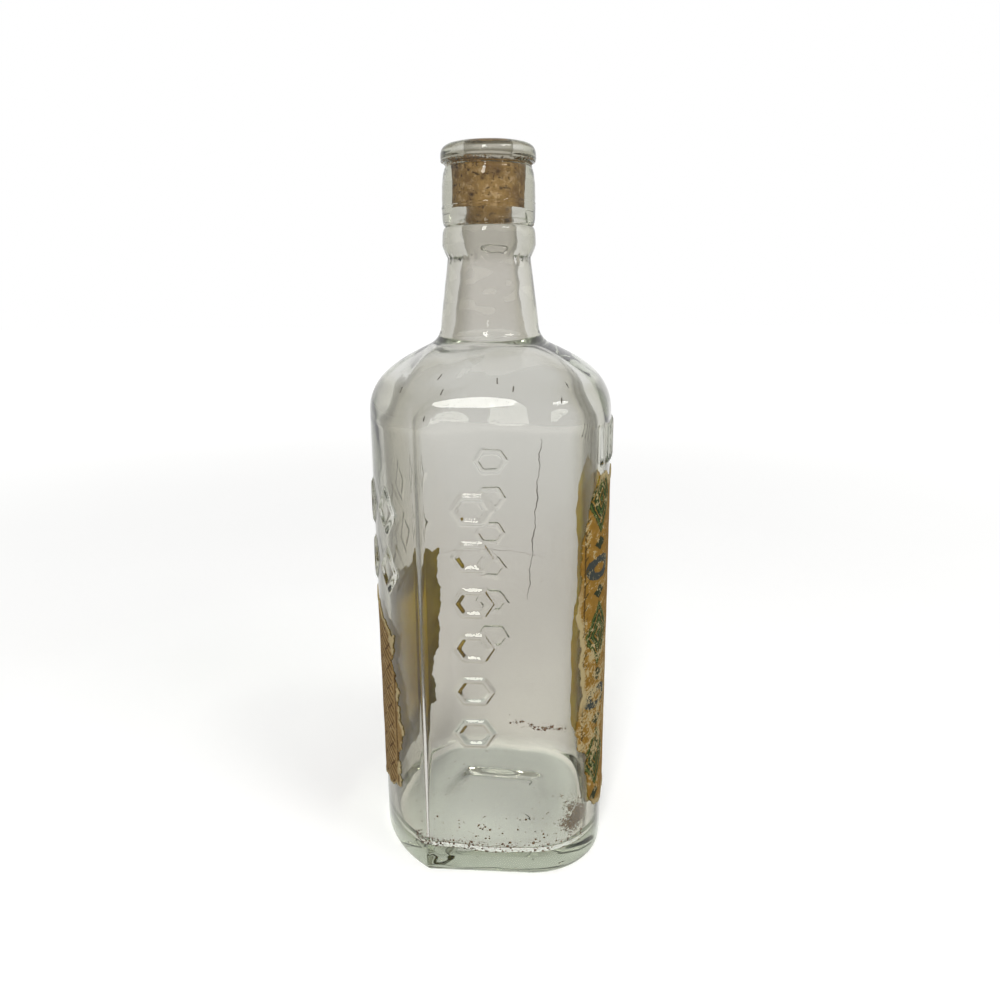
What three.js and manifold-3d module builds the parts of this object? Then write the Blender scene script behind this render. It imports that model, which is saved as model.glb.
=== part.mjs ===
// Embossed glass spirit bottle with the remains of two paper labels and a cork in its neck.
// Millimetres, +Z up. The origin is on the neck's axis, on the plane that the bottle stands on.
// The label front faces -Y, the round back +Y, and the two flat side panels face -X and +X.
import * as THREE from 'three';
import { mergeVertices } from 'three/addons/utils/BufferGeometryUtils.js';
import Module from 'manifold-3d';

const wasm = await Module();
wasm.setup();

// Body section, seen from above
const bodyHalfWidth = 40;         // axis to a side panel
const bodyFrontDepth = 40.8;      // axis to the middle of the front
const bodyBackDepth = 40.8;       // axis to the middle of the round back
const backEdgeDepth = 20.4;       // axis to the crisp edge where a panel meets the round back
const frontCornerRadius = 25;
const frontBowRadius = 110;

// Heights of the outside, stacked from the foot to the rim
const bodyHeight = 157;           // straight body, from the foot
const shoulderRise = 21.7;
const neckFilletRise = 7.3;       // fillet between shoulder and neck
const neckRise = 18.6;            // tapered neck, up to the groove under the ring
const ringLowerRise = 5.4;        // lower groove to the middle of the ring
const ringUpperRise = 5.3;        // middle of the ring to the upper groove
const finishLowerRise = 5.7;      // upper groove to the widest place of the finish
const finishUpperRise = 12.4;     // widest place of the finish to the undercut of the lip
const lipLowerRise = 2.9;
const lipUpperRise = 3.7;
const ringFlank = 3.2;            // sloping underside of the ring
const finishDrawIn = 3.4;         // stretch over which the finish draws in under the lip

// Radii of the neck's outside
const shoulderTopRadius = 20.1;
const neckRootRadius = 16.1;
const lowerGrooveRadius = 13.5;
const ringRadius = 15.2;
const upperGrooveRadius = 13.9;
const finishRadius = 15;
const lipUndercutRadius = 13.5;
const lipRadius = 15.2;
const rimWidth = 2.4;             // flat top of the lip

// Shape of the shoulder's curve
const shoulderLift = 12;          // how far the body's upright line leads into the curve
const shoulderRun = 10.8;         // how far the slope at the neck leads into the curve
const shoulderSlope = THREE.MathUtils.degToRad(25);

// Glass thickness and hollow
const wallThickness = 3.5;
const baseThickness = 7;
const shoulderThickness = 3.7;
const boreRadius = 7.8;           // bore of the finish, which holds the cork
const boreLength = 19.5;
const boreStep = 2.6;             // slope from the bore out to the wider neck
const neckInnerRadius = 9;        // hollow under the finish
const neckRootWall = 3.7;
const mouthRounding = 0.8;
const innerHeelRadius = 6;

// Foot
const heelRadius = 4;
const bearingWidth = 7;           // flat ring that the bottle stands on
const footRecessDepth = 1.8;
const footRecessSlope = 3;

// Raised ornament moulded into the glass
const reliefHeight = 0.8;
const reliefSink = 1.2;           // how deep each raised shape is rooted in the wall
const reliefRim = 2.2;            // width of the raised bars
const hexagonCount = 6;
const hexagonWidth = 14;          // point to point, level
const hexagonLength = 10;
const hexagonPoint = 3.2;         // how far a pointed end reaches past the level bars
const hexagonGap = 5.2;
const hexagonShoulderGap = 20.8;  // from the column's upper end to the shoulder
const hexagonOffset = 3;          // column's distance behind the neck's axis
const backRowCount = 2;
const backLozengesPerRow = 5;
const backLozengeWidth = 11;
const backLozengeLength = 17;
const backLozengeGap = 3;
const backRowShoulderGap = 21;    // from the upper row to the shoulder
const reedCount = 13;
const reedWidth = 2.3;
const reedGap = 2.1;
const reedLength = 13;
const reedShoulderGap = 2;        // from the reeds' upper ends to the shoulder

// Paper labels
const labelThickness = 0.25;
const labelClearance = 0.3;       // the paste line between paper and glass
const frontLabelBottom = 20;
const frontLabelReedGap = 4;      // from the label's upper edge to the reeds
const frontLabelHalfAngle = THREE.MathUtils.degToRad(46);
const backLabelBottom = 22;
const backLabelRowGap = 3;        // from the label's upper edge to the raised rows
const backLabelHalfAngle = THREE.MathUtils.degToRad(48);
const tearDepth = THREE.MathUtils.degToRad(3.5);
const tearPitch = 31;             // height of one wave of the torn edges
const labelStep = 4;              // spacing of the label's facets round the body
const labelRowStep = 8;           // their height

// Cork
const corkClearance = 0.3;
const corkRecess = 6;             // rim to the cork's top
const corkLength = 17.5;
const corkChamfer = 0.8;
const corkTaper = 0.5;            // how much the foot of the cork is narrower in radius

// Facets of each stretch
const backSegments = 12;
const panelSegments = 4;
const cornerSegments = 5;
const bowSegments = 4;
const shoulderSegments = 8;
const curveSegments = 4;
const heelSegments = 3;
const corkSegments = 32;

const weldDistance = 1e-4;        // vertices closer than this are one

// Heights that follow from the driving dimensions
const shoulderTop = bodyHeight + shoulderRise;
const neckRootTop = shoulderTop + neckFilletRise;
const lowerGrooveHeight = neckRootTop + neckRise;
const ringHeight = lowerGrooveHeight + ringLowerRise;
const upperGrooveHeight = ringHeight + ringUpperRise;
const finishHeight = upperGrooveHeight + finishLowerRise;
const lipUndercutHeight = finishHeight + finishUpperRise;
const lipHeight = lipUndercutHeight + lipLowerRise;
const bottleHeight = lipHeight + lipUpperRise;

// Section geometry that follows from the driving dimensions
const backSagitta = bodyBackDepth - backEdgeDepth;
const backRadius = (bodyHalfWidth ** 2 + backSagitta ** 2) / (2 * backSagitta);
const backCentre = backRadius - bodyBackDepth;
const cornerSide = bodyHalfWidth - frontCornerRadius;
const bowAngle = Math.asin(cornerSide / (frontBowRadius - frontCornerRadius));
const bowCentre = bodyFrontDepth - frontBowRadius;
const cornerFront = bowCentre + (frontBowRadius - frontCornerRadius) * Math.cos(bowAngle);

// Distance along a ray from the axis to a circle round (front, side)
function rayToCircle(forward, sideways, front, side, radius) {
  const along = forward * front + sideways * side;
  return along + Math.sqrt(Math.max(along ** 2 - front ** 2 - side ** 2 + radius ** 2, 0));
}

// Distance from the axis to the body's outline, drawn in by inset, at an angle from the front towards +X
function outlineRadius(angle, inset) {
  const forward = Math.cos(angle);
  const sideways = Math.abs(Math.sin(angle));
  const toPanel = (bodyHalfWidth - inset) / Math.max(sideways, Number.EPSILON);
  const toBack = rayToCircle(forward, sideways, backCentre, 0, backRadius - inset);
  const flat = Math.min(toPanel, toBack);
  if (flat * forward < cornerFront) return flat;
  const toBow = rayToCircle(forward, sideways, bowCentre, 0, frontBowRadius - inset);
  if (toBow * sideways <= (frontBowRadius - inset) * Math.sin(bowAngle)) return toBow;
  return rayToCircle(forward, sideways, cornerFront, cornerSide, frontCornerRadius - inset);
}

// Evenly spaced values from start up to, but not including, end
function steps(start, end, count) {
  return Array.from({ length: count }, (_, i) => start + ((end - start) * i) / count);
}

// Angles of the outline's points, once round, with one on each edge between two stretches
const bowEnd = Math.atan2(
  cornerSide + frontCornerRadius * Math.sin(bowAngle),
  cornerFront + frontCornerRadius * Math.cos(bowAngle),
);
const cornerEnd = Math.atan2(bodyHalfWidth, cornerFront);
const panelEnd = Math.atan2(bodyHalfWidth, -backEdgeDepth);
const fullTurn = 2 * Math.PI;
const outlineAngles = [
  ...steps(-bowEnd, bowEnd, bowSegments),
  ...steps(bowEnd, cornerEnd, cornerSegments),
  ...steps(cornerEnd, panelEnd, panelSegments),
  ...steps(panelEnd, fullTurn - panelEnd, backSegments),
  ...steps(fullTurn - panelEnd, fullTurn - cornerEnd, panelSegments),
  ...steps(fullTurn - cornerEnd, fullTurn - bowEnd, cornerSegments),
];

function polarPoint(angle, radius, height) {
  return new THREE.Vector3(radius * Math.sin(angle), -radius * Math.cos(angle), height);
}

// One level of the bottle: the body's outline, drawn in by inset
function bodyRing(height, inset) {
  return outlineAngles.map((angle) => polarPoint(angle, outlineRadius(angle, inset), height));
}

// One round level of the neck
function neckRing(height, radius) {
  return outlineAngles.map((angle) => polarPoint(angle, radius, height));
}

// One level of the shoulder, between the body's outline and the round neck
function shoulderRing(height, reach, inset, bodyReach, neckReach) {
  const share = (reach - neckReach) / (bodyReach - neckReach);
  return outlineAngles.map((angle) => {
    const radius = neckReach + share * (outlineRadius(angle, inset) - neckReach);
    return polarPoint(angle, radius, height);
  });
}

// Closed surface through a list of rings, from a first point on the axis to a last point on it
function loft(first, rings, last) {
  const count = rings[0].length;
  const points = [first, ...rings.flat(), last];
  const indices = [];
  const ringStart = (i) => 1 + i * count;
  const lastIndex = points.length - 1;
  for (let j = 0; j < count; j++) {
    const next = (j + 1) % count;
    indices.push(0, ringStart(0) + next, ringStart(0) + j);
    for (let i = 0; i < rings.length - 1; i++) {
      const a = ringStart(i) + j;
      const b = ringStart(i) + next;
      const c = ringStart(i + 1) + next;
      const d = ringStart(i + 1) + j;
      indices.push(a, b, c, a, c, d);
    }
    indices.push(ringStart(rings.length - 1) + j, ringStart(rings.length - 1) + next, lastIndex);
  }
  const geometry = new THREE.BufferGeometry().setFromPoints(points);
  geometry.setIndex(indices);
  return geometry;
}

// Points of the shoulder's curve, as (reach, height), from the body up to the neck
function shoulderCurve(bodyReach, neckReach, bottom, top) {
  return new THREE.CubicBezierCurve(
    new THREE.Vector2(bodyReach, bottom),
    new THREE.Vector2(bodyReach, bottom + shoulderLift),
    new THREE.Vector2(
      neckReach + shoulderRun * Math.cos(shoulderSlope),
      top - shoulderRun * Math.sin(shoulderSlope),
    ),
    new THREE.Vector2(neckReach, top),
  ).getPoints(shoulderSegments);
}

const innerRootRadius = neckRootRadius - neckRootWall;

// Outside of the neck from the shoulder to the rim, as (radius, height)
function neckOutside() {
  const path = new THREE.Path();
  const neckSwell = (lowerGrooveRadius + neckRootRadius) / 2;
  const neckMiddle = (neckRootTop + lowerGrooveHeight) / 2;
  const filletHeight = shoulderTop + (shoulderTopRadius - neckRootRadius) * Math.tan(shoulderSlope);
  path.moveTo(shoulderTopRadius, shoulderTop);
  path.quadraticCurveTo(neckRootRadius, filletHeight, neckRootRadius, neckRootTop);
  path.quadraticCurveTo(neckSwell, neckMiddle, lowerGrooveRadius, lowerGrooveHeight);
  path.quadraticCurveTo(ringRadius, lowerGrooveHeight + ringFlank, ringRadius, ringHeight);
  path.quadraticCurveTo(ringRadius, upperGrooveHeight, upperGrooveRadius, upperGrooveHeight);
  path.quadraticCurveTo(finishRadius, upperGrooveHeight, finishRadius, finishHeight);
  path.quadraticCurveTo(finishRadius, lipUndercutHeight - finishDrawIn, lipUndercutRadius, lipUndercutHeight);
  path.quadraticCurveTo(lipRadius, lipUndercutHeight, lipRadius, lipHeight);
  path.quadraticCurveTo(lipRadius, bottleHeight, boreRadius + mouthRounding + rimWidth, bottleHeight);
  return path.getPoints(curveSegments);
}

// Inside of the neck from the rim down to the shoulder, as (radius, height)
function neckInside() {
  const path = new THREE.Path();
  const boreBottom = bottleHeight - boreLength;
  path.moveTo(boreRadius + mouthRounding, bottleHeight);
  path.quadraticCurveTo(boreRadius, bottleHeight, boreRadius, bottleHeight - mouthRounding);
  path.lineTo(boreRadius, boreBottom);
  path.lineTo(neckInnerRadius, boreBottom - boreStep);
  path.lineTo(neckInnerRadius, lowerGrooveHeight);
  path.lineTo(innerRootRadius, neckRootTop);
  return path.getPoints(curveSegments);
}

// Quarter round between two levels, drawn in by inset, from upright to level
function heelRings(radius, startInset, level) {
  return Array.from({ length: heelSegments + 1 }, (_, i) => {
    const turn = (Math.PI / 2) * (i / heelSegments);
    return bodyRing(level + radius * (1 - Math.sin(turn)), startInset + radius * (1 - Math.cos(turn)));
  });
}

function glassShell() {
  const innerDepth = bodyFrontDepth - wallThickness;
  const innerBodyHeight = bodyHeight - shoulderThickness;
  const bearingInset = heelRadius + bearingWidth;
  const outerShoulder = shoulderCurve(bodyFrontDepth, shoulderTopRadius, bodyHeight, shoulderTop);
  const innerShoulder = shoulderCurve(innerDepth, innerRootRadius, innerBodyHeight, shoulderTop).reverse();
  const rings = [
    bodyRing(footRecessDepth, bearingInset + footRecessSlope),
    bodyRing(0, bearingInset),
    ...heelRings(heelRadius, 0, 0).reverse(),
    ...outerShoulder.map((p) => shoulderRing(p.y, p.x, 0, bodyFrontDepth, shoulderTopRadius)),
    ...neckOutside().slice(1).map((p) => neckRing(p.y, p.x)),
    ...neckInside().map((p) => neckRing(p.y, p.x)),
    ...innerShoulder.map((p) => shoulderRing(p.y, p.x, wallThickness, innerDepth, innerRootRadius)),
    ...heelRings(innerHeelRadius, wallThickness, baseThickness),
  ];
  return loft(new THREE.Vector3(0, 0, footRecessDepth), rings, new THREE.Vector3(0, 0, baseThickness));
}

// Solids for joining and cutting
function toSolid(geometry) {
  const plain = geometry.clone();
  plain.deleteAttribute('normal');
  plain.deleteAttribute('uv');
  const merged = mergeVertices(plain, weldDistance);
  return new wasm.Manifold(new wasm.Mesh({
    numProp: 3,
    vertProperties: new Float32Array(merged.attributes.position.array),
    triVerts: new Uint32Array(merged.index.array),
  }));
}

function toGeometry(solid) {
  const mesh = solid.getMesh();
  const geometry = new THREE.BufferGeometry();
  geometry.setAttribute('position', new THREE.BufferAttribute(mesh.vertProperties, 3));
  geometry.setIndex(new THREE.BufferAttribute(mesh.triVerts, 1));
  geometry.computeVertexNormals();
  return geometry;
}

function toPoints(corners) {
  return corners.map(([x, y]) => new THREE.Vector2(x, y));
}

// Raised ring with level bars above and below and a pointed end on each side
function hexagonShape() {
  const slope = hexagonPoint / (hexagonLength / 2);
  const pointRim = reliefRim * Math.hypot(1, slope);
  const corners = (reach, rise) => {
    const barEnd = reach - slope * rise;
    const lower = [[-reach, 0], [-barEnd, -rise], [barEnd, -rise]];
    const upper = [[reach, 0], [barEnd, rise], [-barEnd, rise]];
    return toPoints([...lower, ...upper]);
  };
  const shape = new THREE.Shape(corners(hexagonWidth / 2, hexagonLength / 2));
  shape.holes.push(new THREE.Path(corners(hexagonWidth / 2 - pointRim, hexagonLength / 2 - reliefRim)));
  return shape;
}

// Raised diamond with an open middle
function lozengeShape() {
  const reach = backLozengeWidth / 2;
  const rise = backLozengeLength / 2;
  const holeShare = 1 - (reliefRim * Math.hypot(reach, rise)) / (reach * rise);
  const corners = (share) => toPoints([[-reach, 0], [0, -rise], [reach, 0], [0, rise]].map(
    ([x, y]) => [share * x, share * y]));
  const shape = new THREE.Shape(corners(1));
  shape.holes.push(new THREE.Path(corners(holeShare)));
  return shape;
}

// Upright bar with round ends
function reedShape() {
  const radius = reedWidth / 2;
  const straight = reedLength / 2 - radius;
  const shape = new THREE.Shape();
  shape.absarc(0, straight, radius, 0, Math.PI);
  shape.absarc(0, -straight, radius, Math.PI, fullTurn);
  return shape;
}

// Shape drawn on an upright plane that faces a direction, pushed out along it from start to end
function prismFacing(shape, direction, across, height, start, end) {
  const prism = new THREE.ExtrudeGeometry(shape, { depth: end - start, bevelEnabled: false, curveSegments });
  const up = new THREE.Vector3(0, 0, 1);
  const sideways = new THREE.Vector3().crossVectors(up, direction);
  prism.applyMatrix4(new THREE.Matrix4().makeBasis(sideways, up, direction));
  const shift = sideways.multiplyScalar(across).addScaledVector(direction, start);
  return toSolid(prism.translate(shift.x, shift.y, height));
}

// Thin skin over the body's outline, in which the raised ornament lies
function reliefSkin(bottom, top) {
  const outline = (inset) => outlineAngles.map((angle) => {
    const p = polarPoint(angle, outlineRadius(angle, inset), 0);
    return new THREE.Vector2(p.x, p.y);
  });
  const shape = new THREE.Shape(outline(-reliefHeight));
  shape.holes.push(new THREE.Path(outline(reliefSink)));
  const skin = new THREE.ExtrudeGeometry(shape, { depth: top - bottom, bevelEnabled: false });
  return toSolid(skin.translate(0, 0, bottom));
}

// Places of a centred row of equal items
function centredRow(count, pitch) {
  return Array.from({ length: count }, (_, i) => (i - (count - 1) / 2) * pitch);
}

const towardsFront = new THREE.Vector3(0, -1, 0);
const towardsBack = new THREE.Vector3(0, 1, 0);
const towardsSides = [new THREE.Vector3(-1, 0, 0), new THREE.Vector3(1, 0, 0)];
const hexagonPitch = hexagonLength + hexagonGap;
const hexagonColumnTop = bodyHeight - hexagonShoulderGap;
const hexagonMiddle = hexagonColumnTop - (hexagonCount * hexagonPitch - hexagonGap) / 2;
const backRowTop = bodyHeight - backRowShoulderGap;
const backRowPitch = backLozengeLength + backLozengeGap;
const backRowBottom = backRowTop - backRowCount * backRowPitch + backLozengeGap;
const reedTop = bodyHeight - reedShoulderGap;
const reedBottom = reedTop - reedLength;

// A column of hexagon rings on each side panel
function panelRelief() {
  const hexagon = hexagonShape();
  const root = bodyHalfWidth - reliefSink;
  const crown = bodyHalfWidth + reliefHeight;
  return towardsSides.flatMap((direction) => centredRow(hexagonCount, hexagonPitch).map((place) =>
    prismFacing(hexagon, direction, direction.x * hexagonOffset, hexagonMiddle + place, root, crown)));
}

// Rows of taller diamonds across the round back
function backRelief() {
  const lozenge = lozengeShape();
  const skin = reliefSkin(backRowBottom, backRowTop);
  const beyond = bodyBackDepth + 2 * reliefHeight;
  const rowMiddle = (backRowTop + backRowBottom) / 2;
  const acrosses = centredRow(backLozengesPerRow, backLozengeWidth + backLozengeGap);
  return centredRow(backRowCount, backRowPitch).flatMap((lift) => acrosses.map((across) =>
    prismFacing(lozenge, towardsBack, across, rowMiddle + lift, backEdgeDepth, beyond).intersect(skin)));
}

// A band of upright reeds across the front, under the shoulder
function frontRelief() {
  const skin = reliefSkin(reedBottom, reedTop);
  const beyond = bodyFrontDepth + 2 * reliefHeight;
  const middle = (reedTop + reedBottom) / 2;
  return centredRow(reedCount, reedWidth + reedGap).map((across) =>
    prismFacing(reedShape(), towardsFront, across, middle, cornerFront, beyond).intersect(skin));
}

function embossedGlass() {
  const relief = [...panelRelief(), ...backRelief(), ...frontRelief()];
  return relief.reduce((glass, raised) => glass.add(raised), toSolid(glassShell()));
}

// Sheet of paper round the body, with torn upright edges, as one closed solid
function labelSheet(middleAngle, halfAngle, bottom, top) {
  const rows = Math.max(Math.round((top - bottom) / labelRowStep), 2);
  const columns = Math.max(Math.round((2 * halfAngle * bodyFrontDepth) / labelStep), 4);
  const points = [];
  const indices = [];
  const layers = [-labelClearance, -labelClearance - labelThickness];
  const index = (layer, row, column) => (layer * (rows + 1) + row) * (columns + 1) + column;
  for (const inset of layers) {
    for (let row = 0; row <= rows; row++) {
      const height = bottom + ((top - bottom) * row) / rows;
      const tear = tearDepth * Math.sin((fullTurn * height) / tearPitch);
      for (let column = 0; column <= columns; column++) {
        const share = (2 * column) / columns - 1;
        const edgeTear = Math.abs(share) === 1 ? share * tear : 0;
        const angle = middleAngle + share * halfAngle + edgeTear;
        points.push(polarPoint(angle, outlineRadius(angle, inset), height));
      }
    }
  }
  const quad = (...corners) => {
    const [a, b, c, d] = corners.map((corner) => index(...corner));
    indices.push(a, b, c, a, c, d);
  };
  for (let r = 0; r < rows; r++) {
    for (let c = 0; c < columns; c++) {
      quad([1, r, c], [1, r, c + 1], [1, r + 1, c + 1], [1, r + 1, c]);
      quad([0, r, c], [0, r + 1, c], [0, r + 1, c + 1], [0, r, c + 1]);
    }
    quad([0, r, 0], [1, r, 0], [1, r + 1, 0], [0, r + 1, 0]);
    quad([1, r, columns], [0, r, columns], [0, r + 1, columns], [1, r + 1, columns]);
  }
  for (let c = 0; c < columns; c++) {
    quad([0, 0, c], [0, 0, c + 1], [1, 0, c + 1], [1, 0, c]);
    quad([1, rows, c], [1, rows, c + 1], [0, rows, c + 1], [0, rows, c]);
  }
  const geometry = new THREE.BufferGeometry().setFromPoints(points);
  geometry.setIndex(indices);
  geometry.computeVertexNormals();
  return geometry;
}

// Tapered cork, narrower at its foot
function corkPlug() {
  const radius = boreRadius - corkClearance;
  const top = bottleHeight - corkRecess;
  const bottom = top - corkLength;
  const profile = [
    [0, bottom],
    [radius - corkTaper - corkChamfer, bottom],
    [radius - corkTaper, bottom + corkChamfer],
    [radius, top - corkChamfer],
    [radius - corkChamfer, top],
    [0, top],
  ].map(([r, z]) => new THREE.Vector2(r, z));
  return new THREE.LatheGeometry(profile, corkSegments).rotateX(Math.PI / 2);
}

function piece(name, geometry, color, roughness) {
  const mesh = new THREE.Mesh(geometry, new THREE.MeshStandardMaterial({ color, roughness, metalness: 0 }));
  mesh.name = name;
  return mesh;
}

const frontLabelTop = reedBottom - frontLabelReedGap;
const backLabelTop = backRowBottom - backLabelRowGap;

const bottle = new THREE.Group();
bottle.add(
  piece('glass_bottle', toGeometry(embossedGlass()), 0xc4c2bc, 0.05),
  piece('front_label', labelSheet(0, frontLabelHalfAngle, frontLabelBottom, frontLabelTop), 0xa57332, 0.85),
  piece('back_label', labelSheet(Math.PI, backLabelHalfAngle, backLabelBottom, backLabelTop), 0xa5825f, 0.9),
  piece('cork', corkPlug(), 0xa5825a, 0.9),
);

export default bottle;
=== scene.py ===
import math

import bpy
import numpy as np
from mathutils import Matrix, Vector


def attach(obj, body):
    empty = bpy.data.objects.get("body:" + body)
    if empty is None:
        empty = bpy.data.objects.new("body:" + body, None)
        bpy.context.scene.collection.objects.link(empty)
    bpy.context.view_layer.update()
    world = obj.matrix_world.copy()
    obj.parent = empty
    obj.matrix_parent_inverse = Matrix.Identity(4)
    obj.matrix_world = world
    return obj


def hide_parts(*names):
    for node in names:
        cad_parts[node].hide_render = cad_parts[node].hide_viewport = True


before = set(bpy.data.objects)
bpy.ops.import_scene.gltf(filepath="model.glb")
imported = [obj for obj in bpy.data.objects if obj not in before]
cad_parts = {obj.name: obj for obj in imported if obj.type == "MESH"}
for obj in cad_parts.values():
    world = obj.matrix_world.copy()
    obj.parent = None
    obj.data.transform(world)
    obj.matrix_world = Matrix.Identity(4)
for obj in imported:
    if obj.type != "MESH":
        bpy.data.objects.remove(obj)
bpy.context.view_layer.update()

MM = 0.001
FULL_TURN = 2 * math.pi

# Body section in millimetres, the same as the solids have
HALF_WIDTH = 40.0
FRONT_DEPTH = 40.8
BACK_DEPTH = 40.8
BACK_EDGE = 20.4
CORNER_RADIUS = 25.0
BOW_RADIUS = 110.0
EDGE_EASE = 0.28
INNER_EDGE_EASE = 0.9
SHOULDER_EDGE_EASE = 40.0
PANEL_EASE_START = 0.3
PANEL_EASE_END = -0.25

BACK_SAGITTA = BACK_DEPTH - BACK_EDGE
BACK_RADIUS = (HALF_WIDTH ** 2 + BACK_SAGITTA ** 2) / (2 * BACK_SAGITTA)
BACK_CENTRE = BACK_RADIUS - BACK_DEPTH
CORNER_SIDE = HALF_WIDTH - CORNER_RADIUS
BOW_ANGLE = math.asin(CORNER_SIDE / (BOW_RADIUS - CORNER_RADIUS))
BOW_CENTRE = FRONT_DEPTH - BOW_RADIUS
CORNER_FRONT = BOW_CENTRE + (BOW_RADIUS - CORNER_RADIUS) * math.cos(BOW_ANGLE)

# Heights and radii of the outside in millimetres
BODY_TOP = 157.0
SHOULDER_TOP = 178.7
NECK_ROOT = 186.0
LOWER_GROOVE = 205.7
RING = 210.0
UPPER_GROOVE = 215.3
FINISH_START = 220.0
FINISH_END = 224.5
LIP_UNDERCUT = 234.1
LIP = 236.3
RIM = 240.0
RING_FLANK = 3.2
FINISH_DRAW_IN = 3.4
SHOULDER_TOP_RADIUS = 20.1
NECK_ROOT_RADIUS = 16.1
LOWER_GROOVE_RADIUS = 13.5
RING_RADIUS = 15.2
UPPER_GROOVE_RADIUS = 13.9
FINISH_RADIUS = 15.0
LIP_UNDERCUT_RADIUS = 13.5
LIP_RADIUS = 15.2
RIM_WIDTH = 1.2
SHOULDER_START = 3.0
SHOULDER_LIFT = 12.0
SHOULDER_RUN = 11.5
INNER_SHOULDER_LIFT = 13.0
INNER_SHOULDER_RUN = 9.0
SHOULDER_SLOPE = math.radians(25)

# Hollow and foot in millimetres
WALL = 3.5
BASE = 7.0
SHOULDER_THICKNESS = 3.7
BORE_RADIUS = 7.8
BORE_BOTTOM = 220.5
BORE_EASE = 1.0
BORE_STEP = 2.6
BORE_STEP_FOOT = 1.2
NECK_INNER_RADIUS = 9.0
INNER_ROOT_RADIUS = 14.2
INNER_NECK_FOOT = 10.8
INNER_NECK_RISE = 6.0
MOUTH_ROUNDING = 2.4
INNER_HEEL = 6.0
HEEL = 4.0
BEARING_INSET = 17.0
RECESS = 1.8
RECESS_INSET = 29.0

# Raised ornament in millimetres
RELIEF = 0.8
RIDGE = 2.2
RIDGE_FOOT = 1.55
HEXAGONS = 6
HEXAGON_WIDTH = 14.0
HEXAGON_LENGTH = 10.0
HEXAGON_POINT = 3.2
HEXAGON_PITCH = 15.2
HEXAGON_LOWEST = 55.2
HEXAGON_OFFSET = 3.0
BACK_LOZENGE_WIDTH = 11.0
BACK_LOZENGE_LENGTH = 17.0
BACK_PITCH = 14.0
BACK_LOWEST = 107.5
BACK_ROW_PITCH = 20.0
REEDS = 13
REED_PITCH = 4.4
REED_MIDDLE = 148.5
REED_STRAIGHT = 5.35
REED_FOOT = 1.6
CORNER_SOFTNESS = 0.35


def smooth(start, end, value):
    share = np.clip((value - start) / (end - start), 0, 1)
    return share * share * (3 - 2 * share)


# 1 at a middle, falling away over a reach on both sides of it
def near(value, middle, reach):
    return np.exp(-((value - middle) / reach) ** 2)


def ray_to_circle(forward, sideways, front, side, radius):
    along = forward * front + sideways * side
    return along + np.sqrt(np.maximum(along ** 2 - front ** 2 - side ** 2 + radius ** 2, 0))


def eased_min(a, b, ease):
    share = np.clip(0.5 + 0.5 * (b - a) / ease, 0, 1)
    return b * (1 - share) + a * share - ease * share * (1 - share)


# Distance from the axis to the body's outline, drawn in by inset, at an angle from the front towards +X
def outline_radius(angle, inset, ease=EDGE_EASE):
    forward = np.cos(angle)
    sideways = np.abs(np.sin(angle))
    to_panel = (HALF_WIDTH - inset) / np.maximum(sideways, 1e-6)
    to_back = ray_to_circle(forward, sideways, BACK_CENTRE, 0, BACK_RADIUS - inset)
    beside_back = smooth(PANEL_EASE_START, PANEL_EASE_END, forward)
    flat = eased_min(to_panel, to_back, ease * beside_back + 1e-6)
    to_bow = ray_to_circle(forward, sideways, BOW_CENTRE, 0, BOW_RADIUS - inset)
    to_corner = ray_to_circle(forward, sideways, CORNER_FRONT, CORNER_SIDE, CORNER_RADIUS - inset)
    on_bow = to_bow * sideways <= (BOW_RADIUS - inset) * math.sin(BOW_ANGLE)
    return np.where(flat * forward < CORNER_FRONT, flat, np.where(on_bow, to_bow, to_corner))


def polar(angle, radius, height):
    angle, radius, height = np.broadcast_arrays(angle, radius, height)
    return np.stack([radius * np.sin(angle), -radius * np.cos(angle), height], axis=-1)


# Level directions that point out of the body's outline
def outline_normal(angle):
    step = 2e-3
    ahead = polar(angle + step, outline_radius(angle + step, 0), 0.0)
    behind = polar(angle - step, outline_radius(angle - step, 0), 0.0)
    along = ahead - behind
    out = np.stack([along[..., 1], -along[..., 0], np.zeros_like(along[..., 0])], axis=-1)
    return out / np.linalg.norm(out, axis=-1, keepdims=True)


def nearest(value, middle, pitch, lowest, highest):
    index = np.clip(np.round((value - middle) / pitch), lowest, highest)
    return value - middle - index * pitch


# Rounded bar, at a distance from its middle line
def ridge(distance, foot):
    return RELIEF * (0.5 + 0.5 * np.cos(math.pi * np.clip(distance / foot, -1, 1)))


# Raised ring with level bars above and below and a pointed end on each side
def hexagon_relief(across, up):
    slope = HEXAGON_POINT / (HEXAGON_LENGTH / 2)
    to_bar = HEXAGON_LENGTH / 2 - np.abs(up)
    to_point = (HEXAGON_WIDTH / 2 - np.abs(across) - slope * np.abs(up)) / math.hypot(1, slope)
    return ridge(eased_min(to_bar, to_point, 2 * CORNER_SOFTNESS) - RIDGE / 2, RIDGE_FOOT)


# Raised diamond with an open middle
def lozenge_relief(across, up, width, length):
    wide = np.hypot(across, CORNER_SOFTNESS) * 2 / width
    tall = np.hypot(up, CORNER_SOFTNESS) * 2 / length
    inward = (1 - wide - tall) * width * length / (2 * math.hypot(width, length))
    return ridge(inward - RIDGE / 2, RIDGE_FOOT)


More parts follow.
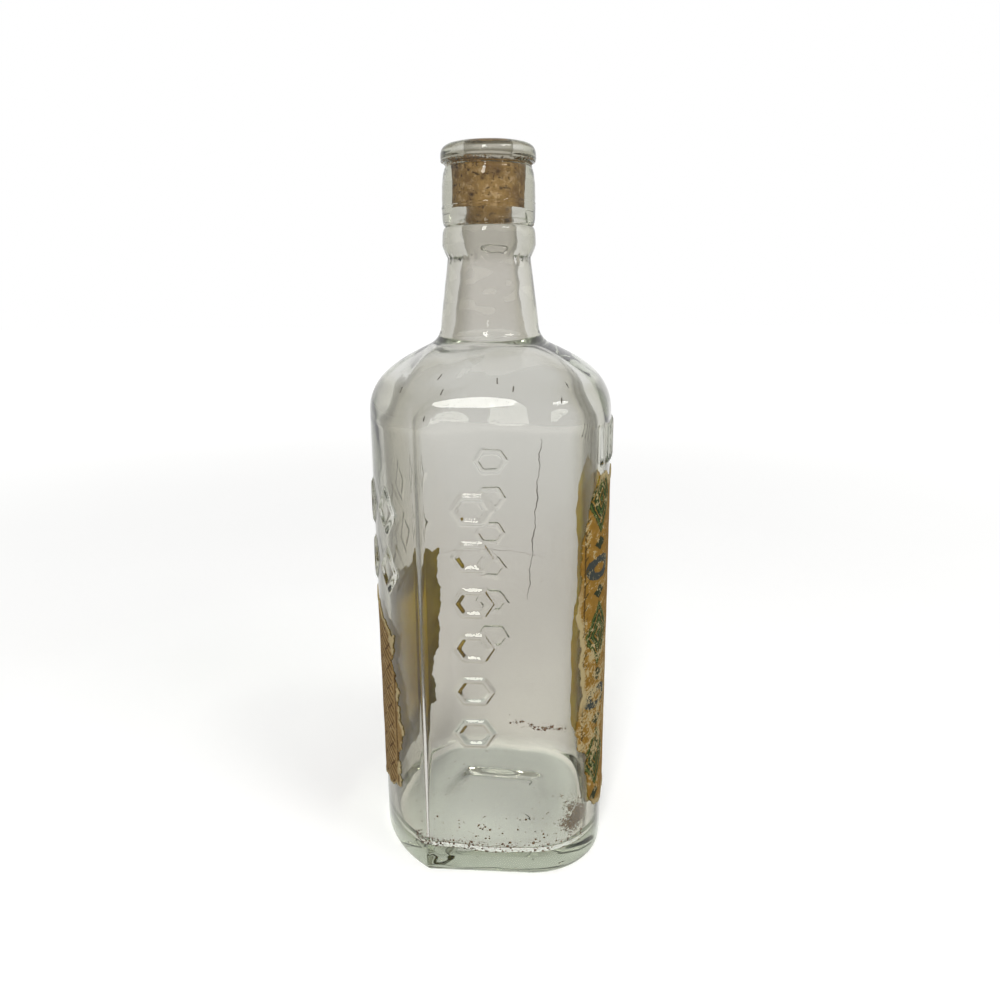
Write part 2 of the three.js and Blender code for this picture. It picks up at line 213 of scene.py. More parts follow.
# Height of the raised ornament over the body
def relief(points):
    x, y, z = points[..., 0], points[..., 1], points[..., 2]
    row = nearest(z, HEXAGON_LOWEST, HEXAGON_PITCH, 0, HEXAGONS - 1)
    side = hexagon_relief(y - HEXAGON_OFFSET, row)
    side = np.where(np.abs(x) > HALF_WIDTH - 1, side, 0)
    column = nearest(x, 0, BACK_PITCH, -2, 2)
    back_row = nearest(z, BACK_LOWEST, BACK_ROW_PITCH, 0, 1)
    back = lozenge_relief(column, back_row, BACK_LOZENGE_WIDTH, BACK_LOZENGE_LENGTH)
    back = np.where(y > BACK_EDGE, back, 0)
    reed = nearest(x, 0, REED_PITCH, -(REEDS // 2), REEDS // 2)
    over_end = np.maximum(np.abs(z - REED_MIDDLE) - REED_STRAIGHT, 0)
    front = ridge(np.hypot(reed, over_end), REED_FOOT)
    front = np.where(y < -CORNER_FRONT, front, 0)
    return side + back + front


# Uneven inside of the old glass
def inner_wave(angle, height):
    slow = 0.30 * np.sin(3 * angle + height / 19 + 0.4) * np.cos(height / 27 + 1.3)
    quick = 0.10 * np.sin(5 * angle - height / 11 + 2.0)
    ripple = 0.15 * np.sin(9 * angle + height / 2.6) * np.sin(4 * angle - height / 3.7 + 1)
    ripple = ripple * smooth(148, 160, height) * (1 - smooth(166, 176, height))
    return (slow + quick + ripple) * (1 - smooth(182, 200, height))


# Unevenness of the neck's inside, below the cork
def neck_wave(angle, height):
    slow = 0.12 * np.sin(2 * angle + height / 4.1) * np.sin(height / 2.9 - 3 * angle)
    quick = 0.05 * np.sin(7 * angle + height / 1.7) * np.sin(3 * angle - height / 2.3)
    at_ring = 1 + 1.6 * near(height, RING - 1, 4)
    return (slow + quick) * at_ring * smooth(SHOULDER_TOP, NECK_ROOT, height) * (1 - smooth(211, 216, height))


# Unevenness of the floor inside and of the rounding round it
def floor_wave(angle, height):
    swell = 0.55 * np.sin(2 * angle + 0.9) + 0.35 * np.sin(5 * angle - 0.6) + 0.2 * np.sin(9 * angle)
    return swell * (1 - smooth(BASE + 2, BASE + 12, height))


# Fine raised line where the finish met the mould
def seam(angle, height):
    return 0.16 * near(height, 221.6 + 0.7 * np.cos(angle + 0.35), 0.28)


# Fine rings and ripples that the finishing tool left on the neck
def tool_marks(angle, height):
    lean = 0.3 * np.sin(angle + 1)
    rings = 0.14 * np.sin((height + lean) * 5.2) * near(height, LIP_UNDERCUT, 1.3)
    groove = 0.09 * np.sin(37 * angle) * np.sin(61 * angle + 1.4) * near(height, LOWER_GROOVE, 1.5)
    ripple = 0.06 * np.sin(5 * angle + 0.7 * height) * np.cos(3 * angle - 1.1 * height)
    return rings + groove + ripple * smooth(205, 222, height)


# One level of the glass: (height, inset, share of the way from the neck to the outline, neck's radius)
def outside(angle, level):
    height, inset, share, neck = level
    edge_ease = EDGE_EASE + SHOULDER_EDGE_EASE * (1 - share)
    radius = neck + share * (outline_radius(angle, inset, edge_ease) - neck)
    if share == 0:
        radius = radius + seam(angle, height) + tool_marks(angle, height)
    points = polar(angle, radius, height)
    if share == 1 and inset == 0:
        points = points + outline_normal(angle) * relief(points)[..., None]
    return points


def inside(angle, level):
    height, inset, share, neck = level
    edge_ease = INNER_EDGE_EASE + SHOULDER_EDGE_EASE * (1 - share)
    radius = neck + share * (outline_radius(angle, inset, edge_ease) - neck)
    radius = radius + np.sqrt(max(share, 0)) * inner_wave(angle, height)
    if share == 0:
        radius = radius + neck_wave(angle, height)
    return polar(angle, radius, height + floor_wave(angle, height) * share ** 3)


def bezier(points, count):
    t = np.linspace(0, 1, count + 1)[:, None]
    points = [np.array(p, float) for p in points]
    while len(points) > 1:
        points = [a + (b - a) * t for a, b in zip(points, points[1:])]
    return points[0]


# One line through Bezier stretches, each given as its further points and its number of steps
def joined(start, stretches):
    found = []
    for further, count in stretches:
        found.append(bezier([start, *further], count)[1:])
        start = further[-1]
    return np.concatenate(found)


def shoulder_curve(body_reach, neck_reach, bottom, lift, run, count):
    return bezier([
        (body_reach, bottom),
        (body_reach, bottom + SHOULDER_START),
        (body_reach, bottom + lift),
        (neck_reach + run * math.cos(SHOULDER_SLOPE), SHOULDER_TOP - run * math.sin(SHOULDER_SLOPE)),
        (neck_reach, SHOULDER_TOP),
    ], count)


def shoulder_levels(curve, inset, body_reach, neck_reach):
    width = body_reach - neck_reach
    return [(height, inset, (reach - neck_reach) / width, neck_reach) for reach, height in curve]


def neck_levels(curve):
    return [(height, 0, 0, radius) for radius, height in curve]


# Arc length along the outline, from the front, for spacing columns and laying paper
ARC_ANGLES = np.linspace(0, math.pi, 4001)
ARC_POINTS = polar(ARC_ANGLES, outline_radius(ARC_ANGLES, 0), 0.0)
ARC_LENGTHS = np.concatenate([[0], np.cumsum(np.linalg.norm(np.diff(ARC_POINTS, axis=0), axis=1))])


def arc_of(angle):
    return np.sign(angle) * np.interp(np.abs(angle), ARC_ANGLES, ARC_LENGTHS)


def angle_of(arc):
    return np.sign(arc) * np.interp(np.abs(arc), ARC_LENGTHS, ARC_ANGLES)


# Column angles once round, with a spacing for each stretch of the half outline
def columns(stretches):
    half = []
    for start, end, spacing in stretches:
        first, last = arc_of(math.radians(start)), arc_of(math.radians(end))
        count = max(round((last - first) / spacing), 1)
        half.extend(np.linspace(first, last, count, endpoint=False))
    half = angle_of(np.array(half))
    return np.concatenate([[-math.pi], -half[:0:-1], half])


PLAIN_SPACING = 2.0
FINE_SPACING = 0.55
EDGE_SPACING = 0.3
REED_STRETCH = (0, 38.5)
PANEL_STRETCH = (82, 106)
EDGE_STRETCH = (115.2, 118.8)
BACK_STRETCH = (127, 180)


def body_columns(reeds, panels, back):
    fine = {True: FINE_SPACING, False: PLAIN_SPACING}
    return columns([
        (*REED_STRETCH, fine[reeds]),
        (REED_STRETCH[1], PANEL_STRETCH[0], PLAIN_SPACING),
        (*PANEL_STRETCH, fine[panels]),
        (PANEL_STRETCH[1], EDGE_STRETCH[0], PLAIN_SPACING),
        (*EDGE_STRETCH, EDGE_SPACING),
        (EDGE_STRETCH[1], BACK_STRETCH[0], PLAIN_SPACING),
        (*BACK_STRETCH, fine[back]),
    ])


PLAIN = body_columns(False, False, False)
PANELS = body_columns(False, True, False)
PANELS_AND_BACK = body_columns(False, True, True)
REEDED = body_columns(True, False, False)
ROUND = np.linspace(-math.pi, math.pi, 128, endpoint=False)


def upright(start, end, spacing):
    count = max(round((end - start) / spacing), 1)
    return [(height, 0, 1, 0) for height in np.linspace(start, end, count, endpoint=False)]


# Level on the rounding at a heel, from its top at no turn to its foot at a quarter turn
def heel_level(bottom, inset, radius, turn):
    return (bottom + radius * (1 - math.sin(turn)), inset + radius * (1 - math.cos(turn)), 1, 0)


def foot_levels():
    levels = [(RECESS, RECESS_INSET, share, 0) for share in (0.15, 0.4, 0.65, 0.85, 0.96)]
    for share in np.linspace(0, 1, 9):
        inset = RECESS_INSET - (RECESS_INSET - BEARING_INSET) * share
        levels.append((RECESS * (1 - smooth(0, 1, share)), inset, 1, 0))
    levels += [(0, inset, 1, 0) for inset in (9.5, 7.5, 5.5)]
    return levels + [heel_level(0, 0, HEEL, turn) for turn in np.linspace(math.pi / 2, 0, 10)[:-1]]


def neck_outside():
    root_corner = SHOULDER_TOP + (SHOULDER_TOP_RADIUS - NECK_ROOT_RADIUS) * math.tan(SHOULDER_SLOPE)
    half_way = ((LOWER_GROOVE_RADIUS + NECK_ROOT_RADIUS) / 2, (NECK_ROOT + LOWER_GROOVE) / 2)
    return joined((SHOULDER_TOP_RADIUS, SHOULDER_TOP), [
        ([(NECK_ROOT_RADIUS, root_corner), (NECK_ROOT_RADIUS, NECK_ROOT)], 10),
        ([half_way, (LOWER_GROOVE_RADIUS, LOWER_GROOVE)], 14),
        ([(RING_RADIUS, LOWER_GROOVE + RING_FLANK), (RING_RADIUS, RING)], 14),
        ([(RING_RADIUS, UPPER_GROOVE), (UPPER_GROOVE_RADIUS, UPPER_GROOVE)], 12),
        ([(FINISH_RADIUS, UPPER_GROOVE), (FINISH_RADIUS, FINISH_START)], 12),
        ([(FINISH_RADIUS, FINISH_END)], 18),
        ([(FINISH_RADIUS, LIP_UNDERCUT - FINISH_DRAW_IN), (LIP_UNDERCUT_RADIUS, LIP_UNDERCUT)], 34),
        ([(LIP_RADIUS, LIP_UNDERCUT), (LIP_RADIUS, LIP)], 18),
        ([(LIP_RADIUS, RIM), (BORE_RADIUS + MOUTH_ROUNDING + RIM_WIDTH, RIM)], 12),
    ])


def neck_inside():
    step_end = BORE_BOTTOM - BORE_STEP
    root_corner = SHOULDER_TOP + (INNER_ROOT_RADIUS - INNER_NECK_FOOT) * math.tan(SHOULDER_SLOPE)
    mouth = (BORE_RADIUS + MOUTH_ROUNDING, RIM)
    below_rim = joined(mouth, [
        ([(BORE_RADIUS, RIM), (BORE_RADIUS, RIM - MOUTH_ROUNDING)], 6),
        ([(BORE_RADIUS, BORE_BOTTOM + BORE_EASE)], 8),
        ([(BORE_RADIUS, BORE_BOTTOM), (NECK_INNER_RADIUS, step_end),
          (NECK_INNER_RADIUS, step_end - BORE_STEP_FOOT)], 8),
        ([(NECK_INNER_RADIUS, LOWER_GROOVE), (INNER_NECK_FOOT, NECK_ROOT + INNER_NECK_RISE),
          (INNER_NECK_FOOT, root_corner), (INNER_ROOT_RADIUS, SHOULDER_TOP)], 30),
    ])
    return np.concatenate([[(mouth[0] + RIM_WIDTH / 2, RIM), mouth], below_rim])


def inner_levels():
    depth = FRONT_DEPTH - WALL
    bottom = BODY_TOP - SHOULDER_THICKNESS
    curve = shoulder_curve(depth, INNER_ROOT_RADIUS, bottom, INNER_SHOULDER_LIFT, INNER_SHOULDER_RUN, 30)
    levels = shoulder_levels(curve[-2::-1], WALL, depth, INNER_ROOT_RADIUS)
    levels += [(height, WALL, 1, 0) for height in np.linspace(bottom, BASE + INNER_HEEL, 44)[1:-1]]
    levels += [heel_level(BASE, WALL, INNER_HEEL, turn) for turn in np.linspace(0, math.pi / 2, 12)]
    levels += [(BASE, WALL + INNER_HEEL, share, 0) for share in (0.92, 0.8, 0.65, 0.5, 0.35, 0.2, 0.08)]
    return levels


# Heights where the finer columns for the ornament start and end
PANEL_ROWS_START = 49.0
BACK_ROWS_START = 97.5
BACK_ROWS_END = 137.5
REED_ROWS_START = 141.0
REED_ROWS_END = 156.0


# Every level of the glass from the middle of the foot, over the rim, to the middle of the floor inside
def glass_levels():
    curve = shoulder_curve(FRONT_DEPTH, SHOULDER_TOP_RADIUS, BODY_TOP, SHOULDER_LIFT, SHOULDER_RUN, 36)
    shoulder = shoulder_levels(curve, 0, FRONT_DEPTH, SHOULDER_TOP_RADIUS)
    stretches = [
        (outside, PLAIN, foot_levels() + upright(HEEL, PANEL_ROWS_START, 2.5)),
        (outside, PANELS, upright(PANEL_ROWS_START, BACK_ROWS_START, FINE_SPACING)),
        (outside, PANELS_AND_BACK, upright(BACK_ROWS_START, BACK_ROWS_END, FINE_SPACING)),
        (outside, PLAIN, upright(BACK_ROWS_END, REED_ROWS_START, 1.2)),
        (outside, REEDED, upright(REED_ROWS_START, REED_ROWS_END, FINE_SPACING)),
        (outside, PLAIN, upright(REED_ROWS_END, BODY_TOP, 0.5) + shoulder),
        (outside, ROUND, neck_levels(neck_outside())),
        (inside, ROUND, neck_levels(neck_inside())),
        (inside, PLAIN, inner_levels()),
    ]
    return [(skin, angles, level) for skin, angles, levels in stretches for level in levels]


# Triangles between two rings that have different columns
def zip_rings(lower, lower_angles, upper, upper_angles):
    count, upper_count = len(lower), len(upper)
    lower_ends = np.append(lower_angles, lower_angles[0] + FULL_TURN)
    upper_ends = np.append(upper_angles, upper_angles[0] + FULL_TURN)
    faces = []
    i = j = 0
    while i < count or j < upper_count:
        if j == upper_count or (i < count and lower_ends[i + 1] <= upper_ends[j + 1]):
            faces.append((lower[i], lower[(i + 1) % count], upper[j % upper_count]))
            i += 1
        else:
            faces.append((lower[i % count], upper[(j + 1) % upper_count], upper[j]))
            j += 1
    return faces


def ring_faces(lower, upper):
    following = np.roll(np.arange(len(lower)), -1)
    return np.stack([lower, lower[following], upper[following], upper], axis=1).tolist()


def direction(vectors):
    return vectors / np.maximum(np.linalg.norm(vectors, axis=-1, keepdims=True), 1e-12)


# Points, faces and point normals of the whole glass, as one closed skin
def glass_skin():
    rings = glass_levels()
    tables = [np.array(level, float) for _, _, level in rings]
    points, normals, faces = [np.array([[0, 0, RECESS]])], [np.array([[0, 0, -1.0]])], []
    start = 1
    last_ids = last_angles = None
    for k, (skin, angles, level) in enumerate(rings):
        before = tables[max(k - 1, 0)]
        after = tables[min(k + 1, len(rings) - 1)]
        nudge = 0.03 * (after - before)
        turn = 0.004
        around = skin(angles + turn, level) - skin(angles - turn, level)
        along = skin(angles, tables[k] + nudge) - skin(angles, tables[k] - nudge)
        points.append(skin(angles, level))
        normals.append(direction(np.cross(around, along)))
        ids = np.arange(start, start + len(angles))
        start += len(angles)
        if k == 0:
            faces += [(0, b, a) for a, b in zip(ids, np.roll(ids, -1))]
        elif len(angles) == len(last_angles):
            faces += ring_faces(last_ids, ids)
        else:
            faces += zip_rings(last_ids, last_angles, ids, angles)
        last_ids, last_angles = ids, angles
    points.append(np.array([[0, 0, BASE]]))
    normals.append(np.array([[0, 0, 1.0]]))
    faces += [(a, b, start) for a, b in zip(last_ids, np.roll(last_ids, -1))]
    return np.concatenate(points), faces, np.concatenate(normals)


def linked(name, data):
    made = bpy.data.objects.new(name, data)
    bpy.context.scene.collection.objects.link(made)
    return made


def new_piece(name, points, faces, body, slot, finishes, node=None):
    mesh = bpy.data.meshes.new(name)
    mesh.from_pydata((np.asarray(points) * MM).tolist(), [], [tuple(int(i) for i in f) for f in faces])
    mesh.polygons.foreach_set("use_smooth", np.ones(len(mesh.polygons), bool))
    mesh.update()
    piece = linked(name, mesh)
    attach(piece, body)
    if node:
        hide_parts(node)
    for finish in finishes:
        mesh.materials.append(finish)
    return piece


# Number kept at each point of a piece, for its finish
def store(piece, name, values):
    kept = piece.data.attributes.new(name, "FLOAT", "POINT")
    kept.data.foreach_set("value", np.ravel(values).astype(np.float32))


def grid_faces(rows, across, start=0):
    ids = np.arange(rows * across).reshape(rows, across) + start
    corners = [ids[:-1, :-1], ids[:-1, 1:], ids[1:, 1:], ids[1:, :-1]]
    return np.stack(corners, axis=-1).reshape(-1, 4).tolist()


# Wavy line from sines of the given (wavelength, depth) pairs, the same on each run
def ragged(place, seed, waves):
    phases = np.random.default_rng(seed).uniform(0, FULL_TURN, len(waves))
    line = 0
    for (length, depth), phase in zip(waves, phases):
        line = line + depth * np.sin(FULL_TURN * place / length + phase)
    return line


TEAR = [(61, 1.6), (23, 1.0), (9.5, 0.6), (4.1, 0.35), (1.9, 0.2)]
PAPER_SINK = 0.03
PAPER_FACE = 0.24
PAPER_CURL = 0.22
PAPER_CURL_REACH = 0.8
PAPER_CRINKLE = 0.05
PAPER_COLUMNS = 110
PAPER_ROWS = 150
SHEET_UNIT = 100


# Worn sheet of paper on the body; its edges are functions of the height, or of the place along the glass
def paper_sheet(name, node, slot, turn, left, right, bottom, top, finishes):
    u, v = np.meshgrid(np.linspace(0, 1, PAPER_COLUMNS), np.linspace(0, 1, PAPER_ROWS))
    rough_height = bottom(0 * u) + v * (top(0 * u) - bottom(0 * u))
    arc = left(rough_height) + u * (right(rough_height) - left(rough_height))
    height = bottom(arc) + v * (top(arc) - bottom(arc))
    to_edge = np.minimum(np.minimum(arc - left(height), right(height) - arc),
                         np.minimum(height - bottom(arc), top(arc) - height))
    curl = PAPER_CURL * np.exp(-np.maximum(to_edge, 0) / PAPER_CURL_REACH)
    crinkle = PAPER_CRINKLE * np.sin(arc / 2.3 + np.sin(height / 7)) * np.sin(height / 3.1 + arc / 9)
    angle = turn + angle_of_sheet(arc, turn)
    lifts = [-PAPER_SINK + 0 * curl, PAPER_FACE + crinkle + curl]
    layers = [polar(angle, outline_radius(angle, -lift), height).reshape(-1, 3) for lift in lifts]
    inner = [face[::-1] for face in grid_faces(PAPER_ROWS, PAPER_COLUMNS)]
    shift = PAPER_ROWS * PAPER_COLUMNS
    outer = grid_faces(PAPER_ROWS, PAPER_COLUMNS, shift)
    ids = np.arange(shift).reshape(PAPER_ROWS, PAPER_COLUMNS)
    border = np.concatenate([ids[0, :-1], ids[:-1, -1], ids[-1, :0:-1], ids[:0:-1, 0]])
    following = np.roll(border, -1)
    rim = np.stack([border, following, following + shift, border + shift], axis=1).tolist()
    sheet = new_piece(name, np.concatenate(layers), inner + outer + rim, "bottle", slot, finishes, node)
    mesh = sheet.data
    kinds = np.ones(len(mesh.polygons), np.int32)
    kinds[:len(inner)] = 0
    mesh.polygons.foreach_set("material_index", kinds)
    corners = np.zeros(len(mesh.loops), np.int32)
    mesh.loops.foreach_get("vertex_index", corners)
    place = np.stack([arc.ravel(), height.ravel()], axis=1) / SHEET_UNIT
    layer = mesh.uv_layers.new(name="paper")
    layer.data.foreach_set("uv", np.tile(place, (2, 1))[corners].astype(np.float32).ravel())
    store(sheet, "torn_edge", np.tile(to_edge.ravel(), 2))


# Polar angle, from the middle of a sheet, of a place along it
def angle_of_sheet(arc, turn):
    if turn == 0:
        return angle_of(arc)
    return np.sign(arc) * (math.pi - angle_of(ARC_LENGTHS[-1] - np.abs(arc)))


class Signal:
    """A value in a shader; arithmetic on it adds the nodes"""

    def __init__(self, finish, socket):
        self.finish = finish
        self.socket = socket

    def math(self, operation, *others):
        return self.finish.node("ShaderNodeMath", {"operation": operation}, dict(enumerate((self, *others))))

    def __add__(self, other):
        return self.math("ADD", other)

    def __sub__(self, other):
        return self.math("SUBTRACT", other)

    def __rsub__(self, other):
        return (self * -1) + other

    def __mul__(self, other):
        return self.math("MULTIPLY", other)

    def __truediv__(self, other):
        return self.math("DIVIDE", other)

    def __abs__(self):
        return self.math("ABSOLUTE")

    def sine(self):
        return self.math("SINE")

    def root(self):
        return self.math("SQRT")

    def squared(self):
        return self * self

    # Repeated place, at most half a pitch from 0
    def wrapped(self, half_pitch):
        return self.math("WRAP", half_pitch, -half_pitch)

    def above(self, other):
        return self.math("MAXIMUM", other)

    def below(self, other):
        return self.math("MINIMUM", other)

    # 0 up to start, 1 from end on, eased between
    def step(self, start, end):
        return self.finish.node("ShaderNodeMapRange", {"interpolation_type": "SMOOTHSTEP", "clamp": True},
                                {"Value": self, "From Min": start, "From Max": end})

    # 1 from full to fade, eased to 0 at start and end
    def band(self, start, full, fade, end):
        return self.step(start, full) * (1 - self.step(fade, end))

    __radd__ = __add__
    __rmul__ = __mul__


class Finish:
    """The node tree of a material or of the world"""

    def __init__(self, owner):
        owner.use_nodes = True
        self.owner = owner
        self.tree = owner.node_tree
        self.tree.nodes.clear()

    def node(self, kind, settings=None, inputs=None, output=0):
        made = self.tree.nodes.new(kind)
        for name, value in (settings or {}).items():
            setattr(made, name, value)
        for name, value in (inputs or {}).items():
            self.feed(made.inputs[name], value)
        return Signal(self, made.outputs[output])

    def feed(self, socket, value):
        if isinstance(value, Signal):
            self.tree.links.new(value.socket, socket)
        else:
            socket.default_value = value

    # Place in a piece's own frame, in metres
    def place(self):
        return self.node("ShaderNodeTexCoord", output="Object")

    def part(self, vector, axis):
        return self.node("ShaderNodeSeparateXYZ", None, {0: vector}, axis)

    # Number kept at the points of a piece
    def stored(self, name):
        return self.node("ShaderNodeAttribute", {"attribute_name": name}, output="Fac")

    def noise(self, place, scale, detail=2.0, roughness=0.5, distortion=0.0):
        return self.node("ShaderNodeTexNoise", None, {
            "Vector": place, "Scale": scale, "Detail": detail,
            "Roughness": roughness, "Distortion": distortion})

    # Rounded spots, 1 in the middle of each
    def cells(self, place, scale, core, rim):
        inputs = {"Vector": place, "Scale": scale}
        distance = self.node("ShaderNodeTexVoronoi", {"feature": "F1"}, inputs, "Distance")
        return 1 - distance.step(core, rim)

    def stretched(self, place, scale):
        return self.node("ShaderNodeVectorMath", {"operation": "MULTIPLY"}, {0: place, 1: scale})

    # Colour b laid over colour a where the mask is 1
    def over(self, mask, a, b):
        return self.node("ShaderNodeMix", {"data_type": "RGBA"}, {"Factor": mask, 6: a, 7: b}, 2)

    # Colours laid over a ground one after another, each where its mask is 1
    def layered(self, ground, layers):
        for mask, colour in layers:
            ground = self.over(mask, ground, colour)
        return ground

    def bump(self, height, strength, distance):
        inputs = {"Strength": strength, "Distance": distance, "Height": height}
        return self.node("ShaderNodeBump", None, inputs)

    def surface(self, shader, kind="ShaderNodeOutputMaterial"):
        output = self.tree.nodes.new(kind)
        self.feed(output.inputs["Surface"], shader)
        return output

    def principled(self, colour, roughness, normal, extra=None):
        self.surface(self.node("ShaderNodeBsdfPrincipled", None, {
            "Base Color": colour, "Roughness": roughness, "Normal": normal, **(extra or {})}))
        return self.owner


def new_finish(name):
    return Finish(bpy.data.materials.new(name))


def srgb(red, green, blue):
    values = [c / 255 for c in (red, green, blue)]
    return tuple(c / 12.92 if c <= 0.04045 else ((c + 0.055) / 1.055) ** 2.4 for c in values) + (1.0,)


GLASS_TINT = (0.735, 0.715, 0.685, 1.0)
# Colours laid over the glass's own tint by place: the paler ones are painted light, the darker ones painted
# shade
GLASS_SHOULDER_PAINTED_LIGHT = (0.772, 0.764, 0.744, 1.0)
GLASS_SLANT_PAINTED_SHADE = (0.51, 0.49, 0.405, 1.0)
GLASS_RIM_PAINTED_SHADE = (0.06, 0.057, 0.04, 1.0)
GLASS_FINISH_PAINTED_SHADE = (0.4, 0.38, 0.31, 1.0)
GLASS_LIP_PAINTED_SHADE = (0.2, 0.175, 0.12, 1.0)
GLASS_BACK_PAINTED_SHADE = (0.36, 0.345, 0.305, 1.0)
GLASS_FOOT_PAINTED_LIGHT = (0.96, 0.945, 0.93, 1.0)
GLASS_FLOOR_PAINTED_LIGHT = (0.785, 0.802, 0.8, 1.0)
GLASS_BODY_COLOUR = (0.52, 0.58, 0.45, 1.0)
GLASS_BODY_DENSITY = 20.0
GLASS_SHADOW = (0.84, 0.85, 0.83, 1.0)
GLASS_IOR = 1.48
GLASS_SHEEN = (0.35, 0.35, 0.33, 1.0)


def clear_glass():
    finish = new_finish("clear_glass")
    place = finish.place()
    ripple = finish.noise(place, 55, 2)
    haze = finish.noise(place, 140, 4, 0.65).step(0.62, 0.8)
    facing = finish.node("ShaderNodeLayerWeight", None, {"Blend": 0.5}, "Facing")
    level = abs(finish.part(finish.node("ShaderNodeNewGeometry", output="Normal"), "Z"))
    slant = facing * (1 - level.step(0.6, 0.9))
    height = finish.part(place, "Z") / MM
    neck_root = height.band(168, 174, 186, 192)
    back = finish.part(place, "Y")
    from_axis = (finish.part(place, "X").squared() + back.squared()).root()
    toward_back = (back / from_axis).step(0.5, 0.9)
    # Glass colour: its own tint, with painted light and shade laid over it by place and slant
    tint_and_painted_light = finish.layered(GLASS_TINT, [
        # painted light: paler glass over the upper body and the shoulder
        (height.band(100, 140, 172, 190), GLASS_SHOULDER_PAINTED_LIGHT),
        # painted shade: darker glass where the surface is seen at a slant, and a near-black rim at the
        # silhouettes, left out round the neck root
        (slant.step(0.15, 0.6), GLASS_SLANT_PAINTED_SHADE),
        (slant.step(0.5, 0.82) * (1 - neck_root), GLASS_RIM_PAINTED_SHADE),
        # painted shade: glass a little darker from about the ring upward
        (height.step(200, 210) * 0.22, GLASS_FINISH_PAINTED_SHADE),
        # painted shade: dark band round the lip bead and its undercut
        (height.band(232.5, 233.5, 236.2, 237.2) * 0.9, GLASS_LIP_PAINTED_SHADE),
        # painted shade: glass darker towards the back, a little from the upper body up and more from the neck
        # root up
        (toward_back * (height.step(112, 125) * 0.14 + height.step(176, 184) * 0.28), GLASS_BACK_PAINTED_SHADE),
        # painted light: paler glass at the foot
        (1 - height.step(5, 12), GLASS_FOOT_PAINTED_LIGHT),
        # painted light: paler, bluish glass where the floor and the underside lie level
        ((1 - height.step(9, 12)) * level.step(0.85, 0.97), GLASS_FLOOR_PAINTED_LIGHT),
    ])
    glass = finish.node("ShaderNodeBsdfPrincipled", None, {
        "Base Color": tint_and_painted_light, "Roughness": haze * 0.03, "IOR": GLASS_IOR, "Transmission Weight": 1.0,
        "Specular Tint": GLASS_SHEEN, "Normal": finish.bump(ripple, 0.18, 0.0006)})
    shadow = finish.node("ShaderNodeBsdfTransparent", None, {"Color": GLASS_SHADOW})
    is_shadow = finish.node("ShaderNodeLightPath", output="Is Shadow Ray")
    output = finish.surface(finish.node("ShaderNodeMixShader", None, {0: is_shadow, 1: glass, 2: shadow}))
    body = finish.node("ShaderNodeVolumeAbsorption", None, {
        "Color": GLASS_BODY_COLOUR, "Density": GLASS_BODY_DENSITY})
    finish.feed(output.inputs["Volume"], body)
    return finish.owner


def aged_cork():
    finish = new_finish("aged_cork")
    place = finish.place()
    patches = finish.noise(place, 190, 3, 0.6)
    flecks = finish.noise(place, 560, 3, 0.65)
    grain = finish.noise(finish.stretched(place, (900, 900, 420)), 1.0, 4, 0.65)
    streaks = finish.noise(finish.stretched(place, (1500, 1500, 90)), 1.0, 3, 0.6)
    rifts = finish.noise(finish.stretched(place, (520, 520, 900)), 1.0, 3, 0.65, 1.2).step(0.58, 0.64)
    pores = finish.cells(place, 330, 0.10, 0.36) * patches.step(0.44, 0.56)
    pits = finish.cells(place, 980, 0.14, 0.30) * finish.noise(place, 330, 2, 0.5).step(0.48, 0.6)
    dark = pores.above(pits * 0.8).above(rifts * 0.8)
    height = finish.part(place, "Z") / MM
    colour = finish.layered(srgb(116, 87, 46), [
        (grain, srgb(168, 135, 81)),
        (flecks.step(0.48, 0.64) * 0.75, srgb(190, 162, 122)),
        (streaks.step(0.5, 0.7) * 0.25, srgb(172, 136, 78)),
        (patches.step(0.45, 0.66) * 0.6, srgb(92, 65, 39)),
        ((1 - height.step(217, 225)) * 0.65, srgb(96, 70, 22)),
        (dark, srgb(46, 28, 15)),
    ])
    return finish.principled(colour, 0.85 + grain * 0.1, finish.bump(grain * 0.4 - dark, 0.6, 0.0004))


# Dull sheen of paper, and the light that soaks through its pasted side
PAPER_MATT = {"Specular IOR Level": 0.12}
PAPER_SCATTER = {
    **PAPER_MATT, "Subsurface Weight": 0.7, "Subsurface Radius": (1.0, 0.8, 0.5), "Subsurface Scale": 0.0008}


# Place on a sheet, in millimetres along it and above the foot
def sheet_place(finish):
    place = finish.node("ShaderNodeUVMap", {"uv_map": "paper"})
    return place, finish.part(place, "X") * SHEET_UNIT, finish.part(place, "Y") * SHEET_UNIT


def line(distance, half_width):
    return 1 - abs(distance).step(half_width * 0.6, half_width * 1.3)


# Two sets of repeated lines that cross
def crossed(a, b, half_pitch, half_width):
    return line((a + b).wrapped(half_pitch), half_width).above(line((a - b).wrapped(half_pitch), half_width))


# Printed sheet, bare where it is rubbed or torn, with its (mask, colour) of grime over it
def worn_paper(finish, ink, fibre, rubbed, torn, bare, grime, roughness):
    colour = finish.layered(ink, [(rubbed.above(torn), bare), grime])
    normal = finish.bump(fibre + torn * -0.8, 0.35, 0.0002)
    return finish.principled(colour, roughness + fibre * 0.15, normal, PAPER_MATT)


BAND_MIDDLE = 26.5
BAND_PITCH = 46.0
PANEL_HALF = 14.0


